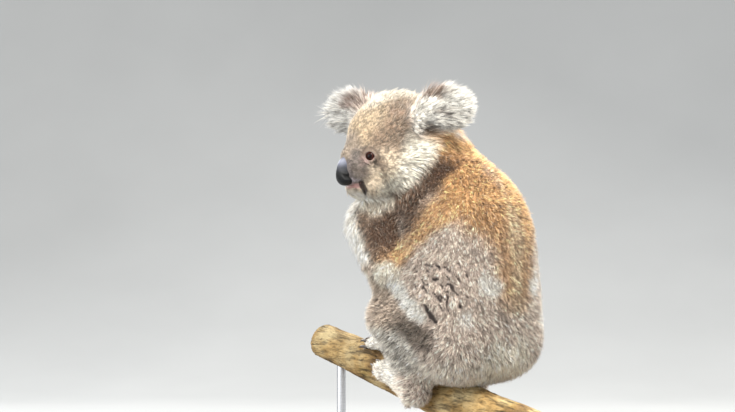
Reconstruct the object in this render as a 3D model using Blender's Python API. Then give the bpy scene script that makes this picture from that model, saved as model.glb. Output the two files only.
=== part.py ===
"""A life-size koala sitting astride a cut length of branch, which two rods hold over a flat display base.

The animal is a field: ellipsoids and tapered limbs joined by smooth minimums, meshed once and then parted
into named pieces by thin cuts. It faces -Y with its head turned to its own left (+X). Lengths are metres.
"""
import math

import bmesh
import bpy
import numpy as np
from mathutils import Matrix, Vector

# The seat is the point under the rump's lowest hair. Body points are given from it: x to the animal's left,
# y backwards, z up.
SEAT = np.array((0.0, 0.040, 0.170))

# Gaps: pieces that touch are drawn this far apart.
GAP = 0.0003
PERCH_CLEARANCE = 0.0012
CLAW_CLEARANCE = 0.0002

# Meshing
CELL = 0.0055
BODY_TRIANGLES = 3400
FACE_PULL = 0.10

# Head: a frame of forward, left and up at the head's centre.
HEAD_CENTRE = np.array((0.048, -0.073, 0.343))
HEAD_TURN = math.radians(83.0)
HEAD_FORWARD = np.array((math.sin(HEAD_TURN), -math.cos(HEAD_TURN), 0.0))
HEAD_LEFT = np.array((math.cos(HEAD_TURN), math.sin(HEAD_TURN), 0.0))
UP = np.array((0.0, 0.0, 1.0))

EYE_RADIUS = 0.0078
EYE_PLACE = (0.0650, 0.0218, -0.0190)
NOSE_PLACE = (0.0930, 0.0, -0.0395)
NOSE_RADII = (0.0150, 0.0145, 0.0205)

# Limbs, each from the body's middle to the left; the right ones mirror them.
SHOULDER = (0.074, -0.090, 0.230)
ELBOW = (0.087, -0.046, 0.163)
WRIST = (0.026, -0.106, 0.082)
HIP = (0.048, 0.034, 0.070)
KNEE = (0.086, -0.050, 0.100)
ANKLE = (0.064, -0.030, 0.026)
UPPER_ARM_RADII = (0.042, 0.034)
FOREARM_RADII = (0.030, 0.021)
THIGH_RADII = (0.062, 0.033)
SHANK_RADII = (0.034, 0.025)

# Perch: a straight tapered branch in the animal's middle plane, rising towards the front.
PERCH_FRONT_Y = -0.275
PERCH_BACK_Y = 0.150
PERCH_SLOPE = 0.288
PERCH_AXIS_AT_SEAT = -0.0204
PERCH_RADIUS_AT_SEAT = 0.0334
PERCH_TAPER = 0.027
PERCH_SIDES = 16
PERCH_RINGS = 12

# Stand
BASE_SIZE = (0.300, 0.440, 0.020)
BASE_CORNER = 0.035
BASE_BEVEL = 0.003
ROD_RADIUS = 0.0065
ROD_SIDES = 16
ROD_PLACES = {"stand_rod_front": -0.235, "stand_rod_back": 0.085}
SOCKET_DEPTH = 0.011


# ---------------------------------------------------------------- fields

def ellipsoid(points, centre, radii, axes=None):
    """Roughly the distance from each point to an ellipsoid, negative inside."""
    local = points - np.asarray(centre)
    if axes is not None:
        local = local @ np.asarray(axes).T
    radii = np.asarray(radii)
    near = np.linalg.norm(local / radii, axis=1)
    steep = np.linalg.norm(local / radii**2, axis=1) + 1e-9
    return near * (near - 1.0) / steep


def limb(points, start, end, start_radius, end_radius):
    """Distance from each point to a tapered limb with round ends."""
    start = np.asarray(start)
    along = np.asarray(end) - start
    share = np.clip((points - start) @ along / (along @ along), 0.0, 1.0)
    radius = start_radius + (end_radius - start_radius) * share
    return np.linalg.norm(points - start - share[:, None] * along, axis=1) - radius


def blend(first, second, width):
    """Smooth minimum of two fields, rounded over the given width."""
    share = np.clip(0.5 + 0.5 * (second - first) / width, 0.0, 1.0)
    return second + (first - second) * share - width * share * (1.0 - share)


def carve(solid, hollow, width):
    """Takes a hollow out of a solid with a rounded rim."""
    return -blend(-solid, hollow, width)


def head_point(forward, left, up):
    """A point of the head's own frame, as a body point."""
    return HEAD_CENTRE + forward * HEAD_FORWARD + left * HEAD_LEFT + up * UP


def head_field(points):
    """Skull, brow, muzzle, cheeks and chin, without the ears."""
    axes = np.array((HEAD_FORWARD, HEAD_LEFT, UP))
    skull = ellipsoid(points, head_point(0.000, 0.0, 0.012), (0.073, 0.060, 0.060), axes)
    muzzle = ellipsoid(points, head_point(0.060, 0.0, -0.040), (0.035, 0.031, 0.029), axes)
    bridge = limb(points, head_point(0.054, 0.0, 0.008), head_point(0.083, 0.0, -0.017), 0.0265, 0.0140)
    chin = ellipsoid(points, head_point(0.050, 0.0, -0.060), (0.031, 0.025, 0.015), axes)
    solid = blend(skull, bridge, 0.020)
    solid = blend(solid, muzzle, 0.016)
    solid = blend(solid, chin, 0.012)
    for side in (1.0, -1.0):
        brow = ellipsoid(points, head_point(0.034, side * 0.021, -0.008), (0.034, 0.024, 0.027), axes)
        cheek = ellipsoid(points, head_point(0.014, side * 0.039, -0.032), (0.044, 0.032, 0.043), axes)
        ruff = ellipsoid(points, head_point(-0.020, side * 0.046, -0.034), (0.034, 0.027, 0.042), axes)
        solid = blend(solid, brow, 0.014)
        solid = blend(solid, blend(cheek, ruff, 0.015), 0.018)
    for side in (1.0, -1.0):
        hollow = ellipsoid(points, head_point(0.078, side * 0.037, -0.020), (0.012, 0.012, 0.012), axes)
        solid = carve(solid, hollow, 0.010)
    return solid


def ear_field(points, side):
    """One round ear with its long fringe. The left ear is turned back, the right one forward."""
    swing = math.radians(-20.0 if side > 0 else 10.0)
    forward = -0.013 if side > 0 else 0.012
    out = math.cos(swing) * side * HEAD_LEFT + math.sin(swing) * HEAD_FORWARD
    front = np.cross(out, UP) * side
    axes = np.array((front, out, UP))
    pinna = ellipsoid(points, head_point(forward, side * 0.089, 0.046), (0.020, 0.046, 0.037), axes)
    inner, outer = head_point(0.0, side * 0.040, 0.026), head_point(forward, side * 0.074, 0.042)
    root = limb(points, inner, outer, 0.030, 0.024)
    return blend(pinna, root, 0.018)


def trunk_field(points):
    """Pear-shaped trunk with the nape running up to the head."""
    rump = ellipsoid(points, (0.0, 0.015, 0.113), (0.116, 0.096, 0.113))
    back = ellipsoid(points, (0.0, 0.010, 0.196), (0.098, 0.104, 0.118))
    chest = ellipsoid(points, (0.0, -0.035, 0.205), (0.082, 0.060, 0.080))
    nape = limb(points, (0.004, -0.004, 0.248), (0.019, -0.030, 0.318), 0.078, 0.057)
    throat = limb(points, (0.025, -0.055, 0.250), (0.062, -0.074, 0.300), 0.050, 0.042)
    tail = ellipsoid(points, (0.0, 0.088, 0.045), (0.018, 0.014, 0.017))
    solid = blend(rump, back, 0.030)
    solid = blend(solid, chest, 0.030)
    solid = blend(solid, nape, 0.030)
    solid = blend(solid, throat, 0.025)
    return blend(solid, tail, 0.015)


def perch_axis(y):
    """Height of the branch's axis above the seat at this y."""
    return PERCH_AXIS_AT_SEAT - PERCH_SLOPE * y


def perch_radius(y):
    """Radius of the branch at this y."""
    return PERCH_RADIUS_AT_SEAT + PERCH_TAPER * y


def around_perch(y, degrees, height):
    """A point this high above the bark; 0 degrees is the animal's left, 90 the top."""
    reach = perch_radius(y) + height
    angle = math.radians(degrees)
    return np.array((reach * math.cos(angle), y, perch_axis(y) + reach * math.sin(angle)))


# Digits: start (y, degrees) and end (y, degrees) on the left, then the radius. Angles go round the branch.
TOES = {
    "first": ((-0.055, -4.0), (-0.072, -46.0), 0.0085),
    "second": ((-0.086, 34.0), (-0.110, 35.0), 0.0070),
    "third": ((-0.092, 25.0), (-0.122, 29.0), 0.0072),
    "fourth": ((-0.096, 13.0), (-0.130, 15.0), 0.0085),
    "fifth": ((-0.093, 0.0), (-0.125, -1.0), 0.0078),
}
FINGERS = {
    "first": ((-0.122, 97.0), (-0.138, 111.0), 0.0066),
    "second": ((-0.134, 94.0), (-0.155, 100.0), 0.0066),
    "third": ((-0.142, 82.0), (-0.167, 83.0), 0.0070),
    "fourth": ((-0.143, 67.0), (-0.167, 65.0), 0.0070),
    "fifth": ((-0.140, 56.0), (-0.160, 49.0), 0.0066),
}
DIGIT_HEIGHT = 0.0065
LEFT_HOLD = (0.0, 0.0)
RIGHT_HOLD = (0.044, 10.0)
FOOT_HOLD = (0.0, 0.0)
FOOT_HEEL = ((-0.028, 8.0), 0.025, 0.024)
FOOT_BALL = ((-0.086, 18.0), 0.013, 0.017)
PALM = ((-0.126, 74.0), 0.015, 0.0160)
CLAW_LENGTH = 0.018
CLAW_RADIUS = 0.0028
CLAW_RINGS = 3
CLAW_SIDES = 5


def digit_points(digit, side, hold, steps=4):
    """Points of one digit on the bark, root to tip; hold moves it back and round the branch."""
    (y_root, turn_root), (y_tip, turn_tip), radius = digit
    back, turn = hold
    path = []
    for step in range(steps):
        share = step / (steps - 1)
        y = y_root + share * (y_tip - y_root) + back
        degrees = turn_root + share * (turn_tip - turn_root) + turn
        height = DIGIT_HEIGHT * (1.25 - 0.25 * share) + 0.004 * math.sin(math.pi * share)
        path.append(sided(around_perch(y, degrees, height), side))
    return path


def sided(point, side):
    """The point on the left (side 1) or mirrored to the right (side -1)."""
    return np.array((side * point[0], point[1], point[2]))


def hand_hold(side):
    """How far back and how far round the branch a hand sits; the right one holds it behind the left."""
    return LEFT_HOLD if side > 0 else RIGHT_HOLD


def wrist_and_palm(side):
    """The wrist's and the palm's middle on one side."""
    back, turn = hand_hold(side)
    wrist = sided(WRIST, side) + np.array((0.0, back, -back * PERCH_SLOPE))
    palm = sided(around_perch(PALM[0][0] + back, PALM[0][1] + turn, PALM[1]), side)
    return wrist, palm


def paw_field(points, digits, side, hold):
    """The digits of one hand or foot."""
    solid = None
    for digit in digits.values():
        path = digit_points(digit, side, hold)
        for start, end in zip(path, path[1:]):
            piece = limb(points, start, end, digit[2], digit[2] * 0.92)
            solid = piece if solid is None else blend(solid, piece, 0.003)
    return solid


def arm_field(points, side):
    """Upper arm, forearm and hand of one side."""
    wrist, palm = wrist_and_palm(side)
    upper = limb(points, sided(SHOULDER, side), sided(ELBOW, side), *UPPER_ARM_RADII)
    lower = limb(points, sided(ELBOW, side), wrist, *FOREARM_RADII)
    hand = limb(points, wrist, palm, FOREARM_RADII[1], PALM[2])
    solid = blend(upper, blend(lower, hand, 0.010), 0.014)
    return blend(solid, paw_field(points, FINGERS, side, hand_hold(side)), 0.006)


def leg_field(points, side):
    """Thigh, shank and foot of one side."""
    heel = sided(around_perch(*FOOT_HEEL[0], FOOT_HEEL[1]), side)
    ball = sided(around_perch(*FOOT_BALL[0], FOOT_BALL[1]), side)
    thigh = limb(points, sided(HIP, side), sided(KNEE, side), *THIGH_RADII)
    shank = limb(points, sided(KNEE, side), sided(ANKLE, side), *SHANK_RADII)
    foot = limb(points, heel, ball, FOOT_HEEL[2], FOOT_BALL[2])
    solid = blend(thigh, shank, 0.014)
    solid = blend(solid, foot, 0.012)
    return blend(solid, paw_field(points, TOES, side, FOOT_HOLD), 0.006)


def perch_field(points):
    """Distance from the straight, tapered branch."""
    tilt = math.cos(math.atan(PERCH_SLOPE))
    offset = np.hypot(points[:, 0], (points[:, 2] - perch_axis(points[:, 1])) * tilt)
    return offset - perch_radius(points[:, 1])


def body_field(points):
    """The whole animal out to its coat's tips, clear of the branch."""
    solid = trunk_field(points)
    for side in (1.0, -1.0):
        solid = blend(solid, leg_field(points, side), 0.012)
        solid = blend(solid, arm_field(points, side), 0.010)
    solid = blend(solid, head_field(points), 0.014)
    for side in (1.0, -1.0):
        solid = blend(solid, ear_field(points, side), 0.012)
    return carve(solid, perch_field(points) - PERCH_CLEARANCE, 0.002)


# ---------------------------------------------------------------- meshing

def fill_pinches(values, fill):
    """Fills grid corners until no square of the grid has its inside corners only across a diagonal."""
    changed = True
    while changed:
        changed = False
        for first, second in ((0, 1), (1, 2), (0, 2)):
            sides = [values]
            for axes in ((first,), (first, second), (second,)):
                shifted = values
                for axis in axes:
                    shifted = np.roll(shifted, -1, axis=axis)
                sides.append(shifted)
            inside = [side < 0.0 for side in sides]
            pinched = (inside[0] == inside[2]) & (inside[1] == inside[3]) & (inside[0] != inside[1])
            places = np.argwhere(pinched)
            for u, v in ((0, 0), (1, 0), (1, 1), (0, 1)):
                corner = places.copy()
                corner[:, first] += u
                corner[:, second] += v
                index = tuple((corner % values.shape).T)
                outside = values[index] >= 0.0
                values[index] = np.where(outside, -fill, values[index])
            changed = changed or len(places) > 0
    return values


def surface_net(field, low, high, cell):
    """Vertices and quads of the surface where the field is zero."""
    counts = np.ceil((np.asarray(high) - low) / cell).astype(int) + 1
    steps = [low[axis] + cell * np.arange(counts[axis]) for axis in range(3)]
    grid = np.stack(np.meshgrid(*steps, indexing="ij"), axis=-1).reshape(-1, 3)
    values = np.concatenate([field(chunk) for chunk in np.array_split(grid, 40)]).reshape(counts)
    values = fill_pinches(values, 0.1 * cell)
    totals = np.zeros(tuple(counts) + (3,))
    hits = np.zeros(counts, dtype=int)
    crossings = []
    for axis in range(3):
        ahead = np.roll(values, -1, axis=axis)
        crossed = (values < 0.0) != (ahead < 0.0)
        crossed[tuple(-1 if other == axis else slice(None) for other in range(3))] = False
        index = np.argwhere(crossed)
        here = values[tuple(index.T)]
        share = here / (here - ahead[tuple(index.T)])
        place = index.astype(float)
        place[:, axis] += share
        u_step, v_step = np.eye(3, dtype=int)[(axis + 1) % 3], np.eye(3, dtype=int)[(axis + 2) % 3]
        ring = [index, index - u_step, index - u_step - v_step, index - v_step]
        for corner in ring:
            np.add.at(totals, tuple(corner.T), place)
            np.add.at(hits, tuple(corner.T), 1)
        crossings.append((ring, here < 0.0))
    used = np.argwhere(hits > 0)
    number = np.full(counts, -1)
    number[tuple(used.T)] = np.arange(len(used))
    vertices = np.asarray(low) + cell * totals[tuple(used.T)] / hits[tuple(used.T)][:, None]
    quads = []
    for ring, leaving in crossings:
        corners = np.stack([number[tuple(corner.T)] for corner in ring], axis=1)
        corners[~leaving] = corners[~leaving][:, ::-1]
        quads.append(corners)
    return vertices, np.concatenate(quads)


def settle(field, vertices, rounds=3, reach=0.0015):
    """Moves the vertices onto the field's surface, by no more than the reach in a round."""
    small = 0.0004
    for _ in range(rounds):
        here = field(vertices)
        slope = np.stack([(field(vertices + small * axis) - here) / small for axis in np.eye(3)], axis=1)
        length = np.linalg.norm(slope, axis=1) + 1e-6
        move = np.clip(here / length, -reach, reach)
        vertices = vertices - slope * (move / length)[:, None]
    return vertices


def clear_scene():
    """Removes the objects that the file starts with."""
    for old in list(bpy.data.objects):
        bpy.data.objects.remove(old, do_unlink=True)


def add_object(name, mesh):
    """Links a mesh to the scene as a named object."""
    body = bpy.data.objects.new(name, mesh)
    bpy.context.collection.objects.link(body)
    return body


def mesh_object(name, vertices, faces):
    """A named object from points and faces, in world coordinates."""
    mesh = bpy.data.meshes.new(name)
    mesh.from_pydata([tuple(point) for point in vertices], [], [tuple(face) for face in faces])
    mesh.validate()
    turn_outward(mesh)
    return add_object(name, mesh)


def turn_outward(mesh):
    """Makes every face of a closed mesh look outwards."""
    shape = bmesh.new()
    shape.from_mesh(mesh)
    bmesh.ops.recalc_face_normals(shape, faces=shape.faces)
    shape.to_mesh(mesh)
    shape.free()


def bmesh_object(name, shape):
    """A named object from a bmesh, which is freed."""
    mesh = bpy.data.meshes.new(name)
    shape.to_mesh(mesh)
    shape.free()
    return add_object(name, mesh)


def baked(body):
    """Replaces the object's mesh by its evaluated one and drops the modifiers."""
    graph = bpy.context.evaluated_depsgraph_get()
    mesh = bpy.data.meshes.new_from_object(body.evaluated_get(graph))
    old = body.data
    body.modifiers.clear()
    body.data = mesh
    bpy.data.meshes.remove(old)
    return body


def boolean(body, cutter, operation):
    """Applies one exact Boolean to the body."""
    step = body.modifiers.new("cut", "BOOLEAN")
    step.operation = operation
    step.solver = "EXACT"
    step.object = cutter
    return baked(body)


def keep_largest(body):
    """Drops the loose chips that a cut leaves, so that the piece is one body."""
    shape = bmesh.new()
    shape.from_mesh(body.data)
    bmesh.ops.triangulate(shape, faces=shape.faces)
    left = set(shape.verts)
    islands = []
    while left:
        stack = [left.pop()]
        island = set(stack)
        while stack:
            for edge in stack.pop().link_edges:
                for vertex in edge.verts:
                    if vertex in left:
                        left.remove(vertex)
                        island.add(vertex)
                        stack.append(vertex)
        islands.append(island)
    islands.sort(key=len, reverse=True)
    chips = [vertex for island in islands[1:] for vertex in island]
    bmesh.ops.delete(shape, geom=chips, context="VERTS")
    shape.to_mesh(body.data)
    shape.free()


def whole_body():
    """The animal in one closed mesh, thinned to the triangle budget."""
    low, high = np.array((-0.150, -0.230, -0.050)), np.array((0.190, 0.140, 0.440))
    vertices, quads = surface_net(body_field, low, high, CELL)
    vertices = settle(body_field, vertices)
    body = mesh_object("koala", vertices + SEAT, quads)
    group = body.vertex_groups.new(name="plain")
    for index, distance in enumerate(np.linalg.norm(vertices - head_point(0.055, 0.0, -0.020), axis=1)):
        group.add([index], min(max(distance / 0.055 - 0.35, 0.0), 1.0), "REPLACE")
    thin = body.modifiers.new("thin", "DECIMATE")
    thin.ratio = BODY_TRIANGLES / (2.0 * len(quads))
    thin.use_collapse_triangulate = True
    thin.vertex_group = "plain"
    thin.vertex_group_factor = FACE_PULL
    body = baked(body)
    body.vertex_groups.clear()
    keep_largest(body)
    return body


# ---------------------------------------------------------------- parting

def hull(name, corners):
    """A convex block round the given body points."""
    shape = bmesh.new()
    for corner in corners:
        shape.verts.new(Vector(SEAT + np.asarray(corner)))
    bmesh.ops.convex_hull(shape, input=shape.verts)
    bmesh.ops.recalc_face_normals(shape, faces=shape.faces)
    return bmesh_object(name, shape)


def prism(name, start, end, radius, grow, sides=7):
    """A many-sided block from start to end, grown all round."""
    start, end = Vector(start), Vector(end)
    along = (end - start).normalized()
    turn = along.to_track_quat("Z", "X").to_matrix()
    corners = []
    for centre, reach in ((start, -grow), (end, grow)):
        for step in range(sides):
            angle = 2.0 * math.pi * (step + 0.37) / sides
            spoke = Vector((math.cos(angle), math.sin(angle), 0.0)) * (radius + grow)
            corners.append(centre + along * reach + turn @ spoke)
    return hull(name, corners)


def split(body, name, block):
    """Parts the body at a block: what is inside becomes a named piece, the rest stays in the body."""
    tight, wide = block(0.0), block(GAP)
    piece = add_object(name, body.data.copy())
    boolean(piece, tight, "INTERSECT")
    boolean(body, wide, "DIFFERENCE")
    keep_largest(piece)
    keep_largest(body)
    for cutter in (tight, wide):
        bpy.data.objects.remove(cutter, do_unlink=True)
    return piece


# ---------------------------------------------------------------- claws, eyes, nose, perch, stand

def claw(name, tip, before, radius):
    """A curved claw that starts inside the digit's tip and bends down to a point."""
    tip, before = Vector(SEAT + tip), Vector(SEAT + before)
    along = (tip - before).normalized()
    across = along.cross(Vector((0.0, 0.0, 1.0))).normalized()
    vertices = []
    place = tip - along * radius
    for ring in range(CLAW_RINGS):
        width = CLAW_RADIUS * (1.0 - 0.25 * ring)
        normal = across.cross(along)
        for step in range(CLAW_SIDES):
            angle = 2.0 * math.pi * step / CLAW_SIDES
            vertices.append(place + width * (math.cos(angle) * across + math.sin(angle) * normal))
        place = place + along * (CLAW_LENGTH + radius) / CLAW_RINGS
        along = (Matrix.Rotation(math.radians(-11.0), 3, across) @ along).normalized()
    vertices.append(place)
    faces = [tuple(reversed(range(CLAW_SIDES)))]
    for ring in range(CLAW_RINGS - 1):
        for step in range(CLAW_SIDES):
            here, ahead = ring * CLAW_SIDES + step, ring * CLAW_SIDES + (step + 1) % CLAW_SIDES
            faces.append((here, ahead, ahead + CLAW_SIDES, here + CLAW_SIDES))
    last = (CLAW_RINGS - 1) * CLAW_SIDES
    for step in range(CLAW_SIDES):
        faces.append((last + step, last + (step + 1) % CLAW_SIDES, len(vertices) - 1))
    return mesh_object(name, vertices, faces)


def plain_perch():
    """A plain cone round the branch, to trim the claws by."""
    corners = []
    for y in (PERCH_FRONT_Y, PERCH_BACK_Y):
        for step in range(4 * PERCH_SIDES):
            corners.append(around_perch(y, 360.0 * step / (4 * PERCH_SIDES), CLAW_CLEARANCE))
    return hull("block", corners)


def add_claws(paw, digits, side, hold, clawless):
    """Joins a claw to the tip of each digit of a hand or foot, clear of the bark."""
    for name, digit in digits.items():
        if name in clawless:
            continue
        path = digit_points(digit, side, hold)
        spike = claw("claw", path[-1], path[-2], digit[2])
        boolean(paw, spike, "UNION")
        bpy.data.objects.remove(spike, do_unlink=True)
    bark = plain_perch()
    boolean(paw, bark, "DIFFERENCE")
    bpy.data.objects.remove(bark, do_unlink=True)
    keep_largest(paw)


def ball_mesh(name, centre, radii, turn=0.0, segments=12, rings=8):
    """An ellipsoid of the given radii, turned about the vertical."""
    shape = bmesh.new()
    bmesh.ops.create_uvsphere(shape, u_segments=segments, v_segments=rings, radius=1.0)
    scale = Matrix.Diagonal((*radii, 1.0))
    place = Matrix.Translation(Vector(SEAT + centre)) @ Matrix.Rotation(turn, 4, "Z") @ scale
    bmesh.ops.transform(shape, matrix=place, verts=shape.verts)
    return bmesh_object(name, shape)


def set_in(name, body, centre, radii, turn):
    """An ellipsoid piece let into the body with a thin gap all round."""
    wide = [radius + GAP for radius in radii]
    socket = ball_mesh("socket", centre, wide, turn)
    boolean(body, socket, "DIFFERENCE")
    bpy.data.objects.remove(socket, do_unlink=True)
    return ball_mesh(name, centre, radii, turn)


def bark_radius(y, angle):
    """Radius of the uneven branch; it never passes the plain taper that the body is carved by."""
    lumps = 0.5 + 0.5 * math.sin(3.0 * angle + 21.0 * y) * math.cos(37.0 * y - angle)
    return perch_radius(y) - 0.0022 * lumps


def perch():
    """The branch as rings along its axis, cut square at both ends."""
    tilt = math.atan(PERCH_SLOPE)
    rise = Vector((0.0, math.sin(tilt), math.cos(tilt)))
    vertices = []
    for ring in range(PERCH_RINGS):
        y = PERCH_BACK_Y + (PERCH_FRONT_Y - PERCH_BACK_Y) * ring / (PERCH_RINGS - 1)
        centre = Vector(SEAT) + Vector((0.0, y, perch_axis(y)))
        for step in range(PERCH_SIDES):
            angle = 2.0 * math.pi * step / PERCH_SIDES
            reach = bark_radius(y, angle)
            spoke = math.cos(angle) * Vector((1.0, 0.0, 0.0)) + math.sin(angle) * rise
            vertices.append(centre + reach * spoke)
    last = (PERCH_RINGS - 1) * PERCH_SIDES
    faces = [tuple(range(PERCH_SIDES)), tuple(reversed(range(last, len(vertices))))]
    for ring in range(PERCH_RINGS - 1):
        for step in range(PERCH_SIDES):
            here, ahead = ring * PERCH_SIDES + step, ring * PERCH_SIDES + (step + 1) % PERCH_SIDES
            faces.append((here, here + PERCH_SIDES, ahead + PERCH_SIDES, ahead))
    return mesh_object("perch", vertices, faces)


def upright(name, x, y, low, high, radius, sides=ROD_SIDES):
    """A vertical cylinder between two heights above the floor."""
    shape = bmesh.new()
    place = Matrix.Translation((x, y, (low + high) / 2.0))
    bmesh.ops.create_cone(
        shape, cap_ends=True, segments=sides, radius1=radius, radius2=radius, depth=high - low, matrix=place
    )
    return bmesh_object(name, shape)


def stand_base():
    """A flat plate with round corners and a small bevel along its top edge."""
    width, depth, height = BASE_SIZE
    rim = []
    for corner, (x_side, y_side) in enumerate(((1, 1), (-1, 1), (-1, -1), (1, -1))):
        for step in range(5):
            angle = math.radians(90.0 * corner + 22.5 * step)
            x = x_side * (width / 2.0 - BASE_CORNER) + BASE_CORNER * math.cos(angle)
            y = y_side * (depth / 2.0 - BASE_CORNER) + BASE_CORNER * math.sin(angle)
            rim.append((x, y))
    levels = ((0.0, 0.0), (height - BASE_BEVEL, 0.0), (height, BASE_BEVEL))
    vertices = []
    for z, inset in levels:
        for x, y in rim:
            vertices.append((x * (1.0 - 2.0 * inset / width), y * (1.0 - 2.0 * inset / depth), z))
    count = len(rim)
    faces = [tuple(reversed(range(count))), tuple(range(2 * count, 3 * count))]
    for level in range(2):
        for step in range(count):
            here, ahead = level * count + step, level * count + (step + 1) % count
            faces.append((here, ahead, ahead + count, here + count))
    return mesh_object("stand_base", vertices, faces)


def stand(branch):
    """The base and its rods, each rod's ends let into the base and the branch."""
    base = stand_base()
    for name, y in ROD_PLACES.items():
        underside = SEAT[2] + perch_axis(y) - perch_radius(y)
        low, high = BASE_SIZE[2] - SOCKET_DEPTH, underside + SOCKET_DEPTH
        world_y = SEAT[1] + y
        socket = upright("socket", 0.0, world_y, low - GAP, high + GAP, ROD_RADIUS + GAP)
        boolean(base, socket, "DIFFERENCE")
        boolean(branch, socket, "DIFFERENCE")
        bpy.data.objects.remove(socket, do_unlink=True)
        upright(name, 0.0, world_y, low, high, ROD_RADIUS)
    return base


# ---------------------------------------------------------------- the pieces of the body

# The plane under the head and neck rises towards the back; the plane between them faces the head.
COLLAR_POINT = (0.0, -0.080, 0.264)
COLLAR_FACING = (0.0, -0.12, 1.0)
NAPE_POINT = (0.018, -0.034, 0.320)
NAPE_FACING = (0.50, -0.60, 0.62)
EAR_ROOT = (0.052, 0.008)
TAIL_CENTRE = (0.0, 0.102, 0.045)
TAIL_BLOCK_RADIUS = 0.021
LEG_BLOCK_REACH = 0.038
PAW_BLOCK_REACH = 0.0080
LEG_INNER = 0.050


def half_space(point, facing, grow):
    """A large block whose one face lies on a plane and which fills the side that the plane faces."""
    facing = Vector(facing).normalized()
    turn = facing.to_track_quat("Z", "X").to_matrix()
    corners = []
    for reach in (-grow, 0.6):
        for u, v in ((-0.5, -0.5), (0.5, -0.5), (0.5, 0.5), (-0.5, 0.5)):
            corners.append(Vector(point) + turn @ Vector((u, v, reach)))
    return hull("block", corners)


def limb_block(start, end, radius):
    """A maker of prisms along a limb, for split()."""
    return lambda grow: prism("block", start, end, radius, grow)


def paw_block(centres, grow):
    """A tight block round the given points of a hand or foot."""
    corners = []
    for centre in centres:
        for x in (-1.0, 1.0):
            for y in (-1.0, 1.0):
                for z in (-1.0, 1.0):
                    corners.append(centre + (PAW_BLOCK_REACH + grow) * np.array((x, y, z)))
    return hull("block", corners)


def leg_block(hip, knee, ankle, side, grow):
    """A flat three-cornered block round a folded leg."""
    outward = np.array((side, 0.0, 0.0))
    middle = (hip + knee + ankle) / 3.0
    corners = []
    for point, reach in ((hip, LEG_BLOCK_REACH), (knee, LEG_BLOCK_REACH), (ankle, LEG_BLOCK_REACH)):
        away = (point - middle) / np.linalg.norm(point - middle)
        across = np.cross(away, outward)
        for slant in (-0.6, 0.6):
            rim = point + (reach + grow) * (away + slant * across)
            corners.append(rim + (0.110 + grow) * outward)
            corners.append(rim * (0.0, 1.0, 1.0) + (LEG_INNER - grow) * outward)
    return hull("block", corners)


def ear_block(side, grow):
    """A block round one ear, whose inner face leans in towards the crown."""
    inner, low = EAR_ROOT
    corners = []
    for forward in (-0.080 - grow, 0.080 + grow):
        corners.append(head_point(forward, side * (inner + 0.010 - grow), low - grow))
        corners.append(head_point(forward, side * (inner - 0.012 - grow), low + 0.090 + grow))
        corners.append(head_point(forward, side * 0.200, low + 0.090 + grow))
        corners.append(head_point(forward, side * 0.200, low - grow))
    return hull("block", corners)


def tail_block(grow):
    """A ball round the stump of the tail."""
    radii = (TAIL_BLOCK_RADIUS + grow,) * 3
    return ball_mesh("block", np.array(TAIL_CENTRE), radii, segments=10, rings=7)


def part_arm(body, side, label):
    """Parts one arm into hand, forearm and upper arm."""
    hold = hand_hold(side)
    wrist, palm = wrist_and_palm(side)
    elbow, shoulder = sided(ELBOW, side), sided(SHOULDER, side)
    centres = [wrist + np.array((0.012, 0.012, 0.0)), wrist + np.array((-0.012, -0.006, 0.0))]
    centres += [point for digit in FINGERS.values() for point in digit_points(digit, side, hold)]
    hand = split(body, "hand_" + label, lambda grow: paw_block(centres, grow))
    add_claws(hand, FINGERS, side, hold, ())
    upper_end = elbow + 0.10 * (elbow - shoulder)
    upper_start = shoulder + 0.45 * (shoulder - elbow)
    split(body, "upper_arm_" + label, limb_block(upper_start, upper_end, 0.045))
    split(body, "forearm_" + label, limb_block(elbow + 0.25 * (elbow - wrist), wrist, 0.036))


def part_leg(body, side, label):
    """Parts one leg into foot and leg."""
    knee, ankle, hip = sided(KNEE, side), sided(ANKLE, side), sided(HIP, side)
    heel = sided(around_perch(*FOOT_HEEL[0], FOOT_HEEL[1] + 0.004), side)
    ball = sided(around_perch(*FOOT_BALL[0], FOOT_BALL[1]), side)
    centres = [heel + np.array((0.0, 0.020, -0.018)), heel + np.array((0.016 * side, 0.0, 0.004))]
    centres += [ball + np.array((0.012 * side, 0.0, 0.006))]
    centres += [point for digit in TOES.values() for point in digit_points(digit, side, FOOT_HOLD)]
    foot = split(body, "foot_" + label, lambda grow: paw_block(centres, grow))
    add_claws(foot, TOES, side, FOOT_HOLD, ("first",))
    split(body, "leg_" + label, lambda grow: leg_block(hip, knee, ankle, side, grow))


def part_head(body):
    """Parts the head with its neck, ears, eyes and nose."""
    for side, label in ((1.0, "left"), (-1.0, "right")):
        split(body, "ear_" + label, lambda grow: ear_block(side, grow))
    head = split(body, "head", lambda grow: half_space(COLLAR_POINT, COLLAR_FACING, grow))
    back = [-share for share in NAPE_FACING]
    split(head, "neck", lambda grow: half_space(NAPE_POINT, back, grow))
    for side, label in ((1.0, "left"), (-1.0, "right")):
        forward, left, up = EYE_PLACE
        set_in("eye_" + label, head, head_point(forward, side * left, up), (EYE_RADIUS,) * 3, 0.0)
    turn = HEAD_TURN - math.pi / 2.0
    set_in("nose", head, head_point(*NOSE_PLACE), NOSE_RADII, turn)


def part_all(body):
    """Names every piece of the body by parting it, from the tips inwards."""
    for side, label in ((1.0, "left"), (-1.0, "right")):
        part_arm(body, side, label)
        part_leg(body, side, label)
    part_head(body)
    split(body, "tail", tail_block)
    body.name = "trunk"


# ---------------------------------------------------------------- materials

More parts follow.
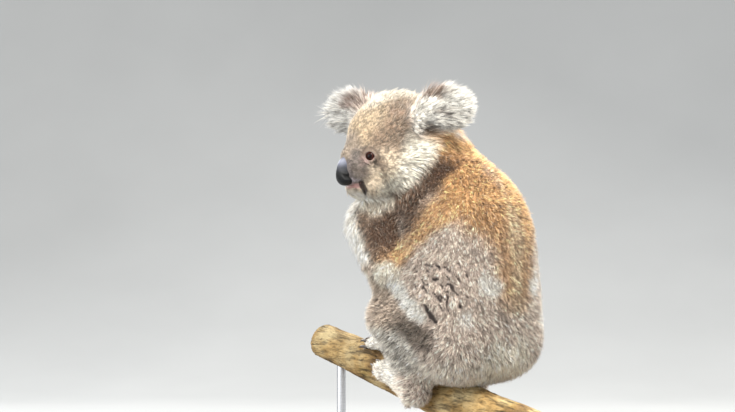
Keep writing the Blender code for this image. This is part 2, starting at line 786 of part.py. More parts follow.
# Node prefix: colour (linear), roughness, metallic.
FINISHES = {
    "head": ((0.36, 0.31, 0.25), 0.95, 0.0),
    "neck": ((0.36, 0.25, 0.15), 0.95, 0.0),
    "trunk": ((0.33, 0.24, 0.15), 0.95, 0.0),
    "tail": ((0.60, 0.53, 0.42), 0.95, 0.0),
    "ear": ((0.55, 0.52, 0.49), 0.95, 0.0),
    "eye": ((0.030, 0.012, 0.006), 0.08, 0.0),
    "nose": ((0.018, 0.018, 0.020), 0.45, 0.0),
    "upper_arm": ((0.16, 0.13, 0.11), 0.95, 0.0),
    "forearm": ((0.28, 0.25, 0.21), 0.95, 0.0),
    "hand": ((0.30, 0.28, 0.25), 0.95, 0.0),
    "leg": ((0.27, 0.23, 0.18), 0.95, 0.0),
    "foot": ((0.42, 0.40, 0.37), 0.95, 0.0),
    "perch": ((0.24, 0.15, 0.08), 0.90, 0.0),
    "stand_base": ((0.020, 0.019, 0.018), 0.45, 0.0),
    "stand_rod": ((0.45, 0.45, 0.46), 0.30, 1.0),
}
FLAT_PIECES = ("stand_base",)


def finish(piece):
    """Gives a piece its own material and its shading."""
    prefix = next(name for name in FINISHES if piece.name.startswith(name))
    colour, roughness, metallic = FINISHES[prefix]
    material = bpy.data.materials.new(piece.name)
    material.use_nodes = True
    shader = material.node_tree.nodes["Principled BSDF"]
    shader.inputs["Base Color"].default_value = (*colour, 1.0)
    shader.inputs["Roughness"].default_value = roughness
    shader.inputs["Metallic"].default_value = metallic
    piece.data.materials.clear()
    piece.data.materials.append(material)
    smooth = piece.name not in FLAT_PIECES
    for face in piece.data.polygons:
        face.use_smooth = smooth


def run():
    """Builds every piece."""
    clear_scene()
    part_all(whole_body())
    stand(perch())
    for piece in bpy.data.objects:
        finish(piece)


run()
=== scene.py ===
"""Looks of a koala on a cut branch: skin under a coat of mesh tufts, bare face parts, claws, bark and stand.

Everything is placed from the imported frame, in metres. The animal faces -Y and looks to its own left, +X.
Body points are given from the seat (x to the animal's left, y backwards, z up) and head points in the head's
own frame (forward, left, up from the skull's middle). Tables of lines, shapes and marks hold whole tenths of
a millimetre, which metres() turns into metres; they give the left side, and the right side mirrors it.
"""
import math

import bmesh
import bpy
import numpy as np
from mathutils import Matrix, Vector, kdtree
from mathutils.bvhtree import BVHTree


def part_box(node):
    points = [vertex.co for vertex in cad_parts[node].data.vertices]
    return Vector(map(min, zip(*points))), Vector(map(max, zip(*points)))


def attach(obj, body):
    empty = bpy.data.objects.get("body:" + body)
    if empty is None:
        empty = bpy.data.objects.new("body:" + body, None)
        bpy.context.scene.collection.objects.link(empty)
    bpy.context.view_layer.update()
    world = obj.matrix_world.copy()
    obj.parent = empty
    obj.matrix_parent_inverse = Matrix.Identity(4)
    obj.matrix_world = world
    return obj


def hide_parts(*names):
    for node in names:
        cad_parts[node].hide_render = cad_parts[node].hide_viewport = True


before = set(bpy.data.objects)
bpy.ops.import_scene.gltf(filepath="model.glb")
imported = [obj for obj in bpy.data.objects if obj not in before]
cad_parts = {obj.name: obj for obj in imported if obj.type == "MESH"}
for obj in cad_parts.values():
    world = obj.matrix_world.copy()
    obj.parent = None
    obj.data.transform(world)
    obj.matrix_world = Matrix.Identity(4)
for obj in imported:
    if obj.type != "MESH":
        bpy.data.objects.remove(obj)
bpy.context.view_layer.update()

SEED = 11
UP = np.array((0.0, 0.0, 1.0))
SEAT = np.array((0.0, 0.040, 0.170))

SIDES = ((1.0, "left"), (-1.0, "right"))
FLESH = (
    "head", "neck", "trunk", "tail", "ear_left", "ear_right",
    "upper_arm_left", "upper_arm_right", "forearm_left", "forearm_right", "hand_left", "hand_right",
    "leg_left", "leg_right", "foot_left", "foot_right",
)

# Skin
VOXEL = 0.0026
PIECE_OVERLAP = 0.0006
SMOOTH_ROUNDS = 16
INSET_STEPS = 8
REGION_BLEND = 0.010
NEAR_NODE = 0.03
EYE_SURROUND = 0.0145
MOUTH_SURROUND = 0.0075
WEIGHT_ROUNDS = 12
MUZZLE_THINNING = 0.65
FIT_STEPS = 7
FIT_SMOOTH_STEPS = 5
FIT_REACH = 0.006
LIE_ROUNDS = 10

# Coat by region: depth over the skin, tuft length, tuft width, lift in degrees, share of the tufts by area.
COAT = {
    "head": (0.0036, 0.0064, 0.00066, 36.0, 1.50),
    "neck": (0.0058, 0.0088, 0.00085, 54.0, 1.00),
    "trunk": (0.0058, 0.0080, 0.00085, 56.0, 1.00),
    "tail": (0.0058, 0.0095, 0.00085, 50.0, 0.90),
    "ear": (0.0085, 0.0180, 0.00062, 22.0, 1.20),
    "upper_arm": (0.0060, 0.0088, 0.00085, 54.0, 1.00),
    "forearm": (0.0050, 0.0080, 0.00080, 50.0, 1.00),
    "hand": (0.0018, 0.0045, 0.00060, 22.0, 1.60),
    "leg": (0.0058, 0.0082, 0.00085, 54.0, 1.00),
    "foot": (0.0032, 0.0070, 0.00070, 34.0, 1.35),
}
DEPTH, LENGTH, WIDTH, LIFT, SHARE = range(5)
SHORT_TUFTS = 262000
LONG_TUFTS = 38000
SHORT_IN_A_PIECE = 46000
LONG_IN_A_PIECE = 19000
BAKE_PATCH = 0.003
ROOT_SINK = 0.0008
ROOT_CLEARANCE = 0.002
NOSE_MARGIN = 0.0010
BARE_MARGIN = 0.0008
TUFTS_TO_A_CLUMP = 7
CREASE_BARE = 0.70
CREASE_OVERHUNG = 0.22
# Length, width and lift of the tufts on the muzzle and beside the eye.
FACE_TUFT = (0.0044, 0.00055, 24.0)
LID_TUFT = (0.0026, 0.00045, 16.0)
LONG_RUFF_HAIR = 0.0200
LONG_SHOULDER_HAIR = 0.0190
MARK_UNEVENNESS = 0.010
FACE_UNEVENNESS = 0.0035


# ---------------------------------------------------------------- small tools

def lerp(first, second, share):
    """Mixes two values or arrays."""
    return first + (second - first) * share


def tinted(values, other, share):
    """Rows of values mixed with another row or rows, by one share for each row."""
    return lerp(values, other, share[:, None])


def unit(vectors):
    """Vectors scaled to length one, along the last axis."""
    vectors = np.asarray(vectors, dtype=float)
    return vectors / (np.linalg.norm(vectors, axis=-1, keepdims=True) + 1e-12)


def smooth_step(low, high, values):
    """Rises smoothly from 0 at low to 1 at high."""
    share = np.clip((np.asarray(values, dtype=float) - low) / (high - low), 0.0, 1.0)
    return share * share * (3.0 - 2.0 * share)


def linear(*colour):
    """An sRGB colour, 0 to 255, as the linear values that shaders use."""
    colour = np.asarray(colour, dtype=float) / 255.0
    return np.where(colour <= 0.04045, colour / 12.92, ((colour + 0.055) / 1.055) ** 2.4)


def metres(table):
    """Lengths given in tenths of a millimetre, as metres."""
    return np.asarray(table) / 10000.0


def round_turn(count):
    """Angles that go evenly once round."""
    return 2.0 * math.pi * np.arange(count) / count


def lattice_noise(points, size, seed):
    """Smooth value noise between 0 and 1, one value for each point, with cells of the given size."""
    table = np.random.default_rng(seed).random(4096)
    place = points / size
    cell = np.floor(place).astype(np.int64)
    part = place - cell
    part = part * part * (3.0 - 2.0 * part)
    total = np.zeros(len(points))
    for corner in range(8):
        step = np.array((corner & 1, (corner >> 1) & 1, (corner >> 2) & 1))
        key = (cell + step) @ np.array((73856093, 19349663, 83492791))
        weight = np.prod(np.where(step == 1, part, 1.0 - part), axis=1)
        total += weight * table[(key ^ (key >> 13)) & 4095]
    return total


def drift(points, size, seed):
    """Three noises between -0.5 and 0.5 at each point."""
    return np.stack([lattice_noise(points, size, seed + axis) for axis in range(3)], axis=1) - 0.5


def mirrored(points, axis=1):
    """The points with one coordinate made positive, so that the right side reads the left's figures."""
    points = np.array(points, dtype=float)
    points[:, axis] = np.abs(points[:, axis])
    return points


def distance_to_path(points, path):
    """Distance from each point to a line through the path's points, and how far along it that is, 0 to 1."""
    path = np.asarray(path, dtype=float)
    nearest = np.full(len(points), 1e9)
    along = np.zeros(len(points))
    count = len(path) - 1
    for index in range(count):
        step = path[index + 1] - path[index]
        share = np.clip((points - path[index]) @ step / (step @ step), 0.0, 1.0)
        distance = np.linalg.norm(points - path[index] - share[:, None] * step, axis=1)
        closer = distance < nearest
        nearest = np.where(closer, distance, nearest)
        along = np.where(closer, (index + share) / count, along)
    return nearest, along


def from_line(points, line):
    """Distance from each point to a table's line, or to its only point."""
    line = metres(line)
    if len(line) == 1:
        return np.linalg.norm(points - line[0], axis=1)
    return distance_to_path(points, line)[0]


def linked(name, data):
    """An object of this data, linked into the scene."""
    body = bpy.data.objects.new(name, data)
    bpy.context.scene.collection.objects.link(body)
    return body


def fast_mesh(name, vertices, faces):
    """A smooth mesh object from arrays of points and of faces that all have the same number of corners."""
    faces = np.asarray(faces, dtype=np.int32)
    corners = faces.shape[1]
    mesh = bpy.data.meshes.new(name)
    mesh.vertices.add(len(vertices))
    mesh.vertices.foreach_set("co", np.asarray(vertices, dtype=np.float32).ravel())
    mesh.loops.add(faces.size)
    mesh.loops.foreach_set("vertex_index", faces.ravel())
    mesh.polygons.add(len(faces))
    mesh.polygons.foreach_set("loop_start", np.arange(0, faces.size, corners, dtype=np.int32))
    mesh.polygons.foreach_set("use_smooth", np.full(len(faces), True))
    mesh.update(calc_edges=True)
    return linked(name, mesh)


def mesh_arrays(mesh):
    """Points and triangles of a mesh whose object sits at the origin."""
    mesh.calc_loop_triangles()
    vertices = np.empty(3 * len(mesh.vertices), dtype=np.float32)
    mesh.vertices.foreach_get("co", vertices)
    triangles = np.empty(3 * len(mesh.loop_triangles), dtype=np.int32)
    mesh.loop_triangles.foreach_get("vertices", triangles)
    return vertices.reshape(-1, 3).astype(float), triangles.reshape(-1, 3)


def welded(vertices, triangles):
    """The same surface with the points that share a place made one."""
    key = np.round(vertices / 1e-5).astype(np.int64)
    _, first, index = np.unique(key, axis=0, return_index=True, return_inverse=True)
    return vertices[first], index.reshape(-1)[triangles]


def sum_to_points(values, index, count):
    """Adds rows of values up at the points that index names."""
    return np.stack([np.bincount(index, weights=column, minlength=count) for column in values.T], axis=1)


def point_normals(vertices, triangles):
    """Area-weighted normals at the points."""
    a, b, c = (vertices[triangles[:, corner]] for corner in range(3))
    face = np.cross(b - a, c - a)
    return unit(sum(sum_to_points(face, triangles[:, corner], len(vertices)) for corner in range(3)))


def edges_of(triangles):
    """Each edge of the triangles once."""
    pairs = np.concatenate((triangles[:, (0, 1)], triangles[:, (1, 2)], triangles[:, (2, 0)]))
    return np.unique(np.sort(pairs, axis=1), axis=0)


def neighbour_mean(values, edges):
    """Mean of each point's neighbours."""
    count = len(values)
    total = sum_to_points(values[edges[:, 1]], edges[:, 0], count)
    total += sum_to_points(values[edges[:, 0]], edges[:, 1], count)
    number = np.bincount(edges.ravel(), minlength=count)
    return total / np.maximum(number, 1)[:, None]


def smoothed(values, edges, rounds, share=0.5):
    """Values evened out over the mesh."""
    for _ in range(rounds):
        values = lerp(values, neighbour_mean(values, edges), share)
    return values


def set_colour(body, colours):
    """Stores one linear colour for each point."""
    attribute = body.data.color_attributes.new("Coat", "FLOAT_COLOR", "POINT")
    rgba = np.ones((len(colours), 4), dtype=np.float32)
    rgba[:, :3] = colours
    attribute.data.foreach_set("color", rgba.ravel())


def grid_faces(rows, columns, closed=True):
    """Quads over a grid of points, row by row; closed joins the last column to the first."""
    faces = []
    for row in range(rows - 1):
        here = row * columns
        for column in range(columns if closed else columns - 1):
            ahead = (column + 1) % columns
            faces.append((here + column, here + ahead, here + columns + ahead, here + columns + column))
    return faces


def solid_grid(name, rings):
    """A closed body through rings of points; each end is closed by a point in its middle."""
    rows, columns = rings.shape[:2]
    vertices = [tuple(point) for point in rings.reshape(-1, 3)]
    faces = grid_faces(rows, columns)
    for row, turn in ((0, 1), (rows - 1, -1)):
        vertices.append(tuple(rings[row].mean(axis=0)))
        for column in range(columns):
            pair = (row * columns + column, row * columns + (column + 1) % columns)
            faces.append((len(vertices) - 1, *pair[::-turn]))
    mesh = bpy.data.meshes.new(name)
    mesh.from_pydata(vertices, [], faces)
    mesh.polygons.foreach_set("use_smooth", np.full(len(mesh.polygons), True))
    shape = bmesh.new()
    shape.from_mesh(mesh)
    bmesh.ops.recalc_face_normals(shape, faces=shape.faces)
    shape.to_mesh(mesh)
    shape.free()
    return linked(name, mesh)


def with_ends(colours):
    """Colours of a grid's points, then of the middle points that close its two ends."""
    return np.vstack((colours.reshape(-1, 3), colours[0].mean(axis=0), colours[-1].mean(axis=0)))


def tube(path, radii, name, sides=12):
    """A tube of changing radius along a path, closed at both ends."""
    path = np.asarray(path, dtype=float)
    angles = round_turn(sides)
    rings = []
    across = None
    for index, place in enumerate(path):
        ahead, behind = path[min(index + 1, len(path) - 1)], path[max(index - 1, 0)]
        along = unit(ahead - behind)
        if across is None:
            across = unit(np.cross(along, UP + 0.01))
        across = unit(across - along * (across @ along))
        ring = np.outer(np.cos(angles), across) + np.outer(np.sin(angles), np.cross(across, along))
        rings.append(place + radii[index] * ring)
    return solid_grid(name, np.array(rings))


def curve_through(points, count):
    """Evenly spaced points on a smooth curve through a few given ones."""
    points = np.asarray(points, dtype=float)
    padded = np.vstack((2.0 * points[0] - points[1], points, 2.0 * points[-1] - points[-2]))
    result = []
    for share in np.linspace(0.0, len(points) - 1.0, count):
        index = min(int(share), len(points) - 2)
        t = share - index
        a, b, c, d = padded[index:index + 4]
        result.append(0.5 * (2.0 * b + (c - a) * t + (2.0 * a - 5.0 * b + 4.0 * c - d) * t * t
                             + (3.0 * b - a - 3.0 * c + d) * t ** 3))
    return np.array(result)


# ---------------------------------------------------------------- the frame of the head and body

def box_centre(node):
    """Middle of a node's box."""
    low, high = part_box(node)
    return (np.array(low) + np.array(high)) / 2.0


def box_size(node):
    """Size of a node's box."""
    low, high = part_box(node)
    return np.array(high) - np.array(low)


EYES = {1.0: box_centre("eye_left"), -1.0: box_centre("eye_right")}
EYE_RADIUS = float(box_size("eye_left")[2]) / 2.0
HEAD_LEFT = unit(EYES[1.0] - EYES[-1.0])
HEAD_FORWARD = np.cross(HEAD_LEFT, UP)
EYES_FROM_MIDDLE = (0.0650, -0.0190)
HEAD_MIDDLE = (EYES[1.0] + EYES[-1.0]) / 2.0 - EYES_FROM_MIDDLE[0] * HEAD_FORWARD - EYES_FROM_MIDDLE[1] * UP
HEAD_AXES = np.array((HEAD_FORWARD, HEAD_LEFT, UP))
NOSE = box_centre("nose")
NOSE_RADII = np.array((0.0150, 0.0145, 0.0205))
EYE_GAZE = {side: unit(0.80 * HEAD_FORWARD + side * 0.58 * HEAD_LEFT + 0.02 * UP) for side in (1.0, -1.0)}


def in_head(points):
    """Forward, left and up from the skull's middle."""
    return (np.asarray(points) - HEAD_MIDDLE) @ HEAD_AXES.T


def from_head(local):
    """World points of forward, left and up."""
    return HEAD_MIDDLE + np.asarray(local) @ HEAD_AXES


def in_left_head(points):
    """Forward, left and up from the skull's middle, with left taken as positive on both sides."""
    return mirrored(in_head(points))


EYE_MIDDLE = in_head(EYES[1.0])


def from_eye(local):
    """Distance of points of the left half of the head from the eye's middle."""
    return np.linalg.norm(local - EYE_MIDDLE, axis=1)


# ---------------------------------------------------------------- the bare head's shape

def ellipsoid(points, centre, radii):
    """Roughly the distance from each point to an ellipsoid, negative inside."""
    local = points - np.asarray(centre)
    radii = np.asarray(radii)
    near = np.linalg.norm(local / radii, axis=1)
    steep = np.linalg.norm(local / radii**2, axis=1) + 1e-9
    return near * (near - 1.0) / steep


def limb(points, start, end, start_radius, end_radius):
    """Distance from each point to a tapered limb with round ends."""
    start = np.asarray(start)
    along = np.asarray(end) - start
    share = np.clip((points - start) @ along / (along @ along), 0.0, 1.0)
    radius = lerp(start_radius, end_radius, share)
    return np.linalg.norm(points - start - share[:, None] * along, axis=1) - radius


def blend(first, second, width):
    """Smooth minimum of two fields, rounded over the given width."""
    share = np.clip(0.5 + 0.5 * (second - first) / width, 0.0, 1.0)
    return second + (first - second) * share - width * share * (1.0 - share)


def carve(solid, hollow, width):
    """Takes a hollow out of a solid with a rounded rim."""
    return -blend(-solid, hollow, width)


# The mouth's line from under the nose back to its corner, then the fold below the corner.
MOUTH_LINE = ((872, 0, -608), (856, 50, -597), (842, 110, -575), (824, 176, -554), (787, 212, -542))
MOUTH_FOLD = (
    (812, 192, -530), (776, 180, -562), (759, 181, -603), (729, 187, -658), (680, 140, -690),
    (641, 98, -713),
)
LIP_SKIN = ((854, 55, -575), (827, 111, -589), (797, 162, -589))
FOLD_HALF_WIDTH = 0.0021
MOUTH_HALF_WIDTH = 0.0018
LIP_HALF_WIDTH = 0.0030
EYE_OPENING = (0.0065, 0.0062)
EYE_TILT = math.radians(8.0)
LID_OVER_EYE = 0.0010
LID_BLEND = 0.0035
SOCKET_DEPTH = 0.0035
SOCKET_RIM = 0.0008
BEHIND_EYE = 0.02
# Each groove's line, depth and half width.
GROOVES = ((MOUTH_LINE, 30, 12), (MOUTH_FOLD, 26, 20))
SKULL = ((10, 0, 120), (700, 560, 565))
BRIDGE_LINE = ((540, 0, 80), (830, 0, -170))
BRIDGE_RADII = (247, 124)
BRIDGE_BLEND = 200
# The head's other lumps: middle, radii and width of the blend with what comes before.
HEAD_LUMPS = {
    "muzzle": ((610, 0, -390), (340, 296, 270), 140),
    "chin": ((520, 0, -600), (300, 240, 140), 80),
    "brow": ((340, 210, -80), (325, 225, 255), 120),
    "cheek": ((140, 380, -320), (415, 290, 395), 180),
    "jowl": ((480, 180, -620), (240, 150, 150), 100),
    "lower lip": ((720, 40, -630), (110, 115, 58), 40),
    "lip": ((740, 120, -470), (155, 130, 112), 50),
}


def eye_axes(side):
    """Gaze, across (away from the nose) and upright axes of one eye, in the head's frame."""
    gaze = HEAD_AXES @ EYE_GAZE[side]
    across = unit(np.cross((0.0, 0.0, 1.0), gaze)) * side
    upright = unit(np.array((0.0, 0.0, 1.0)) - gaze * gaze[2])
    return gaze, math.cos(EYE_TILT) * across + math.sin(EYE_TILT) * upright, upright


def eye_view(local, margin=0.0):
    """How far out points lie in the left eye's opening, 1 at its rim, and which are in front of the eye."""
    gaze, across, upright = eye_axes(1.0)
    offset = local - EYE_MIDDLE
    wide, high = EYE_OPENING[0] + margin, EYE_OPENING[1] + margin
    return np.hypot((offset @ across) / wide, (offset @ upright) / high), offset @ gaze > 0.0


def bare_head(local):
    """Skull, brow, muzzle, cheeks, chin, mouth and eye openings under the coat."""
    local = mirrored(local)
    solid = ellipsoid(local, *metres(SKULL))
    solid = blend(solid, limb(local, *metres(BRIDGE_LINE), *metres(BRIDGE_RADII)), metres(BRIDGE_BLEND))
    for middle, radii, width in HEAD_LUMPS.values():
        solid = blend(solid, ellipsoid(local, metres(middle), metres(radii)), metres(width))
    for line, depth, half_width in GROOVES:
        solid = solid + metres(depth) * np.exp(-(from_line(local, line) / metres(half_width)) ** 2)
    from_middle = from_eye(local)
    solid = blend(solid, from_middle - (EYE_RADIUS + LID_OVER_EYE), LID_BLEND)
    opening, front = eye_view(local)
    hollow = np.where(front, (opening - 1.0) * EYE_OPENING[1], BEHIND_EYE)
    return carve(solid, np.maximum(hollow, (EYE_RADIUS - SOCKET_DEPTH) - from_middle), SOCKET_RIM)


def field_step(local):
    """How far to move each point so that it lies on the bare head."""
    reach = 0.0004
    value = bare_head(local)
    slope = np.stack([
        bare_head(local + step) - bare_head(local - step) for step in reach * np.eye(3)
    ], axis=1) / (2.0 * reach)
    return -value[:, None] * slope / np.maximum((slope ** 2).sum(axis=1), 0.25)[:, None]


# ---------------------------------------------------------------- skin

def outer_surface():
    """The flesh nodes, each slightly grown, remeshed as one closed surface."""
    parts, faces, offset = [], [], 0
    for node in FLESH:
        vertices, triangles = welded(*mesh_arrays(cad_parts[node].data))
        parts.append(vertices + PIECE_OVERLAP * point_normals(vertices, triangles))
        faces.append(triangles + offset)
        offset += len(vertices)
    body = fast_mesh("start", np.concatenate(parts), np.concatenate(faces))
    modifier = body.modifiers.new("Remesh", "REMESH")
    modifier.mode = "VOXEL"
    modifier.voxel_size = VOXEL
    evaluated = body.evaluated_get(bpy.context.evaluated_depsgraph_get())
    mesh = bpy.data.meshes.new_from_object(evaluated)
    bpy.data.objects.remove(body, do_unlink=True)
    return mesh


def refined(mesh, inside):
    """Splits the mesh's edges in two where both ends are inside."""
    shape = bmesh.new()
    shape.from_mesh(mesh)
    chosen = inside(np.array([vertex.co for vertex in shape.verts]))
    edges = [edge for edge in shape.edges if all(chosen[vertex.index] for vertex in edge.verts)]
    bmesh.ops.subdivide_edges(shape, edges=edges, cuts=1, use_grid_fill=True)
    bmesh.ops.triangulate(shape, faces=shape.faces)
    shape.to_mesh(mesh)
    shape.free()
    return mesh


def near_face(points):
    """True at points of the face."""
    local = in_head(points)
    return (local[:, 0] > 0.030) & (np.abs(local[:, 1]) < 0.056) & (np.abs(local[:, 2] + 0.020) < 0.062)


def near_features(points):
    """True round the eyes and mouth."""
    local = in_left_head(points)
    mouth = from_line(local, MOUTH_LINE + MOUTH_FOLD[1:])
    return (from_eye(local) < EYE_SURROUND) | (mouth < MOUTH_SURROUND)


def region_of(node):
    """A node's coat region."""
    return node.replace("_left", "").replace("_right", "")


def node_weights(points):
    """How much each point belongs to each flesh node; every row adds up to one."""
    distances = np.full((len(points), len(FLESH)), 1.0)
    for column, node in enumerate(FLESH):
        vertices, triangles = mesh_arrays(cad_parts[node].data)
        tree = BVHTree.FromPolygons(vertices.tolist(), triangles.tolist())
        low, high = vertices.min(axis=0) - NEAR_NODE, vertices.max(axis=0) + NEAR_NODE
        for index in np.flatnonzero(((points > low) & (points < high)).all(axis=1)):
            distances[index, column] = tree.find_nearest(points[index])[3]
    weights = np.exp((distances.min(axis=1, keepdims=True) - distances) / REGION_BLEND)
    return weights / weights.sum(axis=1, keepdims=True)


def by_region(weights, item):
    """One figure of the coat table at each point."""
    return weights @ np.array([COAT[region_of(node)][item] for node in FLESH])


def share_of(weights, *nodes):
    """How much each point belongs to the named nodes together."""
    return sum(weights[:, FLESH.index(node)] for node in nodes)


def face_share(points):
    """How far each point counts as head for the bare head's own shape."""
    local = in_head(points)
    back = smooth_step(-0.012, 0.020, local[:, 0])
    under = smooth_step(-0.088, -0.070, local[:, 2])
    side = 1.0 - smooth_step(0.055, 0.066, np.abs(local[:, 1]))
    return back * under * side


def fitted_head(vertices, edges, belonging):
    """The skin's points with the face drawn onto the bare head, from how much each belongs to the head."""
    share = face_share(vertices) * smooth_step(0.25, 0.75, belonging)
    chosen = share > 0.0
    for step in range(FIT_STEPS):
        move = field_step(in_head(vertices[chosen]))
        size = np.linalg.norm(move, axis=1, keepdims=True)
        move = move * np.minimum(1.0, FIT_REACH / (size + 1e-9))
        vertices[chosen] += share[chosen, None] * (move @ HEAD_AXES)
        if step < FIT_SMOOTH_STEPS:
            vertices = np.where(chosen[:, None], smoothed(vertices, edges, 1, 0.35), vertices)
    return vertices


def skin_parts():
    """Points, triangles and node weights of the skin."""
    mesh = refined(refined(outer_surface(), near_face), near_features)
    vertices, triangles = mesh_arrays(mesh)
    edges = edges_of(triangles)
    vertices = smoothed(vertices, edges, SMOOTH_ROUNDS)
    weights = smoothed(node_weights(vertices), edges, WEIGHT_ROUNDS)
    head = share_of(weights, "head")
    muzzle = smooth_step(0.040, 0.070, in_head(vertices)[:, 0])
    depth = by_region(weights, DEPTH) * (1.0 - MUZZLE_THINNING * head * muzzle)
    for _ in range(INSET_STEPS):
        vertices = vertices - (depth / INSET_STEPS)[:, None] * point_normals(vertices, triangles)
        vertices = smoothed(vertices, edges, 2, 0.4)
    vertices = fitted_head(vertices, edges, head + share_of(weights, "neck") * 0.5)
    return vertices, triangles, weights


# ---------------------------------------------------------------- lie of the coat

# The way each part's hair runs, in the world; limbs point down towards the paws.
LIE = {
    "neck": (0.0, 0.35, -1.0), "trunk": (0.0, 0.15, -1.0), "tail": (0.0, 0.5, -1.0),
    "upper_arm": (0.15, 0.35, -1.0), "forearm": (-0.65, -0.70, -0.75), "hand": (-0.35, -1.0, -0.1),
    "leg": (0.25, -0.75, -0.65), "foot": (-0.10, -1.0, 0.20),
}
EAR_ROOTS = {side: from_head((0.008, side * 0.040, 0.032)) for side, _ in SIDES}


def head_lie(vertices):
    """The way the head's hair runs: away from the nose, and down over the lower cheeks."""
    away = unit(vertices - (NOSE + 0.004 * HEAD_FORWARD))
    low = smooth_step(-0.010, -0.060, in_head(vertices)[:, 2])
    return unit(away - 0.45 * low[:, None] * UP - 0.30 * HEAD_FORWARD)


def ear_lie(vertices, side):
    """The way an ear's hair runs: out from its root and to the side."""
    out = unit(vertices - EAR_ROOTS[side])
    return unit(out + 0.55 * side * HEAD_LEFT - 0.15 * HEAD_FORWARD)


def flattened(flow, normals):
    """Directions laid into the surface."""
    return flow - normals * (flow * normals).sum(axis=1, keepdims=True)


def lie_of_coat(vertices, normals, weights, edges):
    """A tangent direction at every point, evened out between the parts."""
    flow = np.zeros_like(vertices)
    for column, node in enumerate(FLESH):
        region = region_of(node)
        side = -1.0 if node.endswith("_right") else 1.0
        if region == "head":
            direction = head_lie(vertices)
        elif region == "ear":
            direction = ear_lie(vertices, side)
        else:
            direction = unit(np.array(LIE[region]) * (side, 1.0, 1.0))
        flow += weights[:, column, None] * direction
    for eye in EYES.values():
        offset = vertices - eye
        near = 1.0 - smooth_step(0.009, 0.020, np.linalg.norm(offset, axis=1))
        flow = tinted(flow, unit(offset), near)
    for _ in range(LIE_ROUNDS):
        flow = smoothed(unit(flattened(flow, normals)), edges, 1, 0.5)
    return unit(flattened(flow, normals))


# ---------------------------------------------------------------- markings

# Golden fur, lifted with a painted backlit glow along the ridge from back to elbow.
GOLDEN_WITH_GLOW = linear(250, 194, 134)
NAPE = linear(240, 184, 122)
SPINE = linear(222, 174, 124)
# Painted rim light: a pale band down the back that stands for the lit edge of the outline.
PAINTED_BACK_RIM_LIGHT = linear(250, 226, 192)
FLANK = linear(230, 210, 194)
FLECK = linear(70, 48, 36)
CREAM = linear(252, 240, 220)
WHITE = linear(252, 248, 238)
# Dark brown fur of the shoulder, deepened as painted shade under the head.
SHOULDER_DARK_AND_SHADE = linear(104, 74, 54)
SHOULDER_GREY = linear(144, 116, 92)
# Dark brown fur under the cheek, deepened as painted shade.
NECK_DARK_AND_SHADE = linear(122, 84, 58)
KNEE_GREY = linear(190, 170, 150)
THIGH_SHADE = linear(92, 78, 66)
FOOT_GREY = linear(218, 212, 200)
FOREHEAD = linear(156, 138, 112)
FOREHEAD_GREY = linear(104, 84, 68)
BRIDGE = linear(118, 105, 92)
MUZZLE = linear(80, 73, 72)
EYE_PALE = linear(150, 130, 122)
CHEEK = linear(216, 198, 174)
# Grey and dark of the ears' insides and foot, deepened as painted shade in those hollows.
EAR_GREY_AND_SHADE = linear(96, 72, 60)
EAR_DARK_AND_SHADE = linear(58, 44, 38)
PINK = linear(132, 110, 105)
# Painted shade in the flank's partings and in the mouth's line and fold.
PAINTED_CREASE_SHADE = linear(46, 32, 26)
CROWN = linear(178, 171, 156)
RUFF_HAIR = linear(232, 226, 210)
LIP_PINK = linear(150, 112, 106)
EYE_RING = linear(100, 84, 72)
NOSE_SIDE = linear(92, 84, 82)
EAR_HAIR = linear(196, 194, 188)
# Grey inside the left ear, deepened as painted shade in its hollow.
INNER_EAR_AND_SHADE = linear(104, 98, 94)
UPPER_LIP = linear(158, 148, 152)
# Dark face marks; the one beneath the eye is painted shadow.
FACE_DARK = linear(84, 70, 62)
TEMPLE = linear(118, 94, 76)

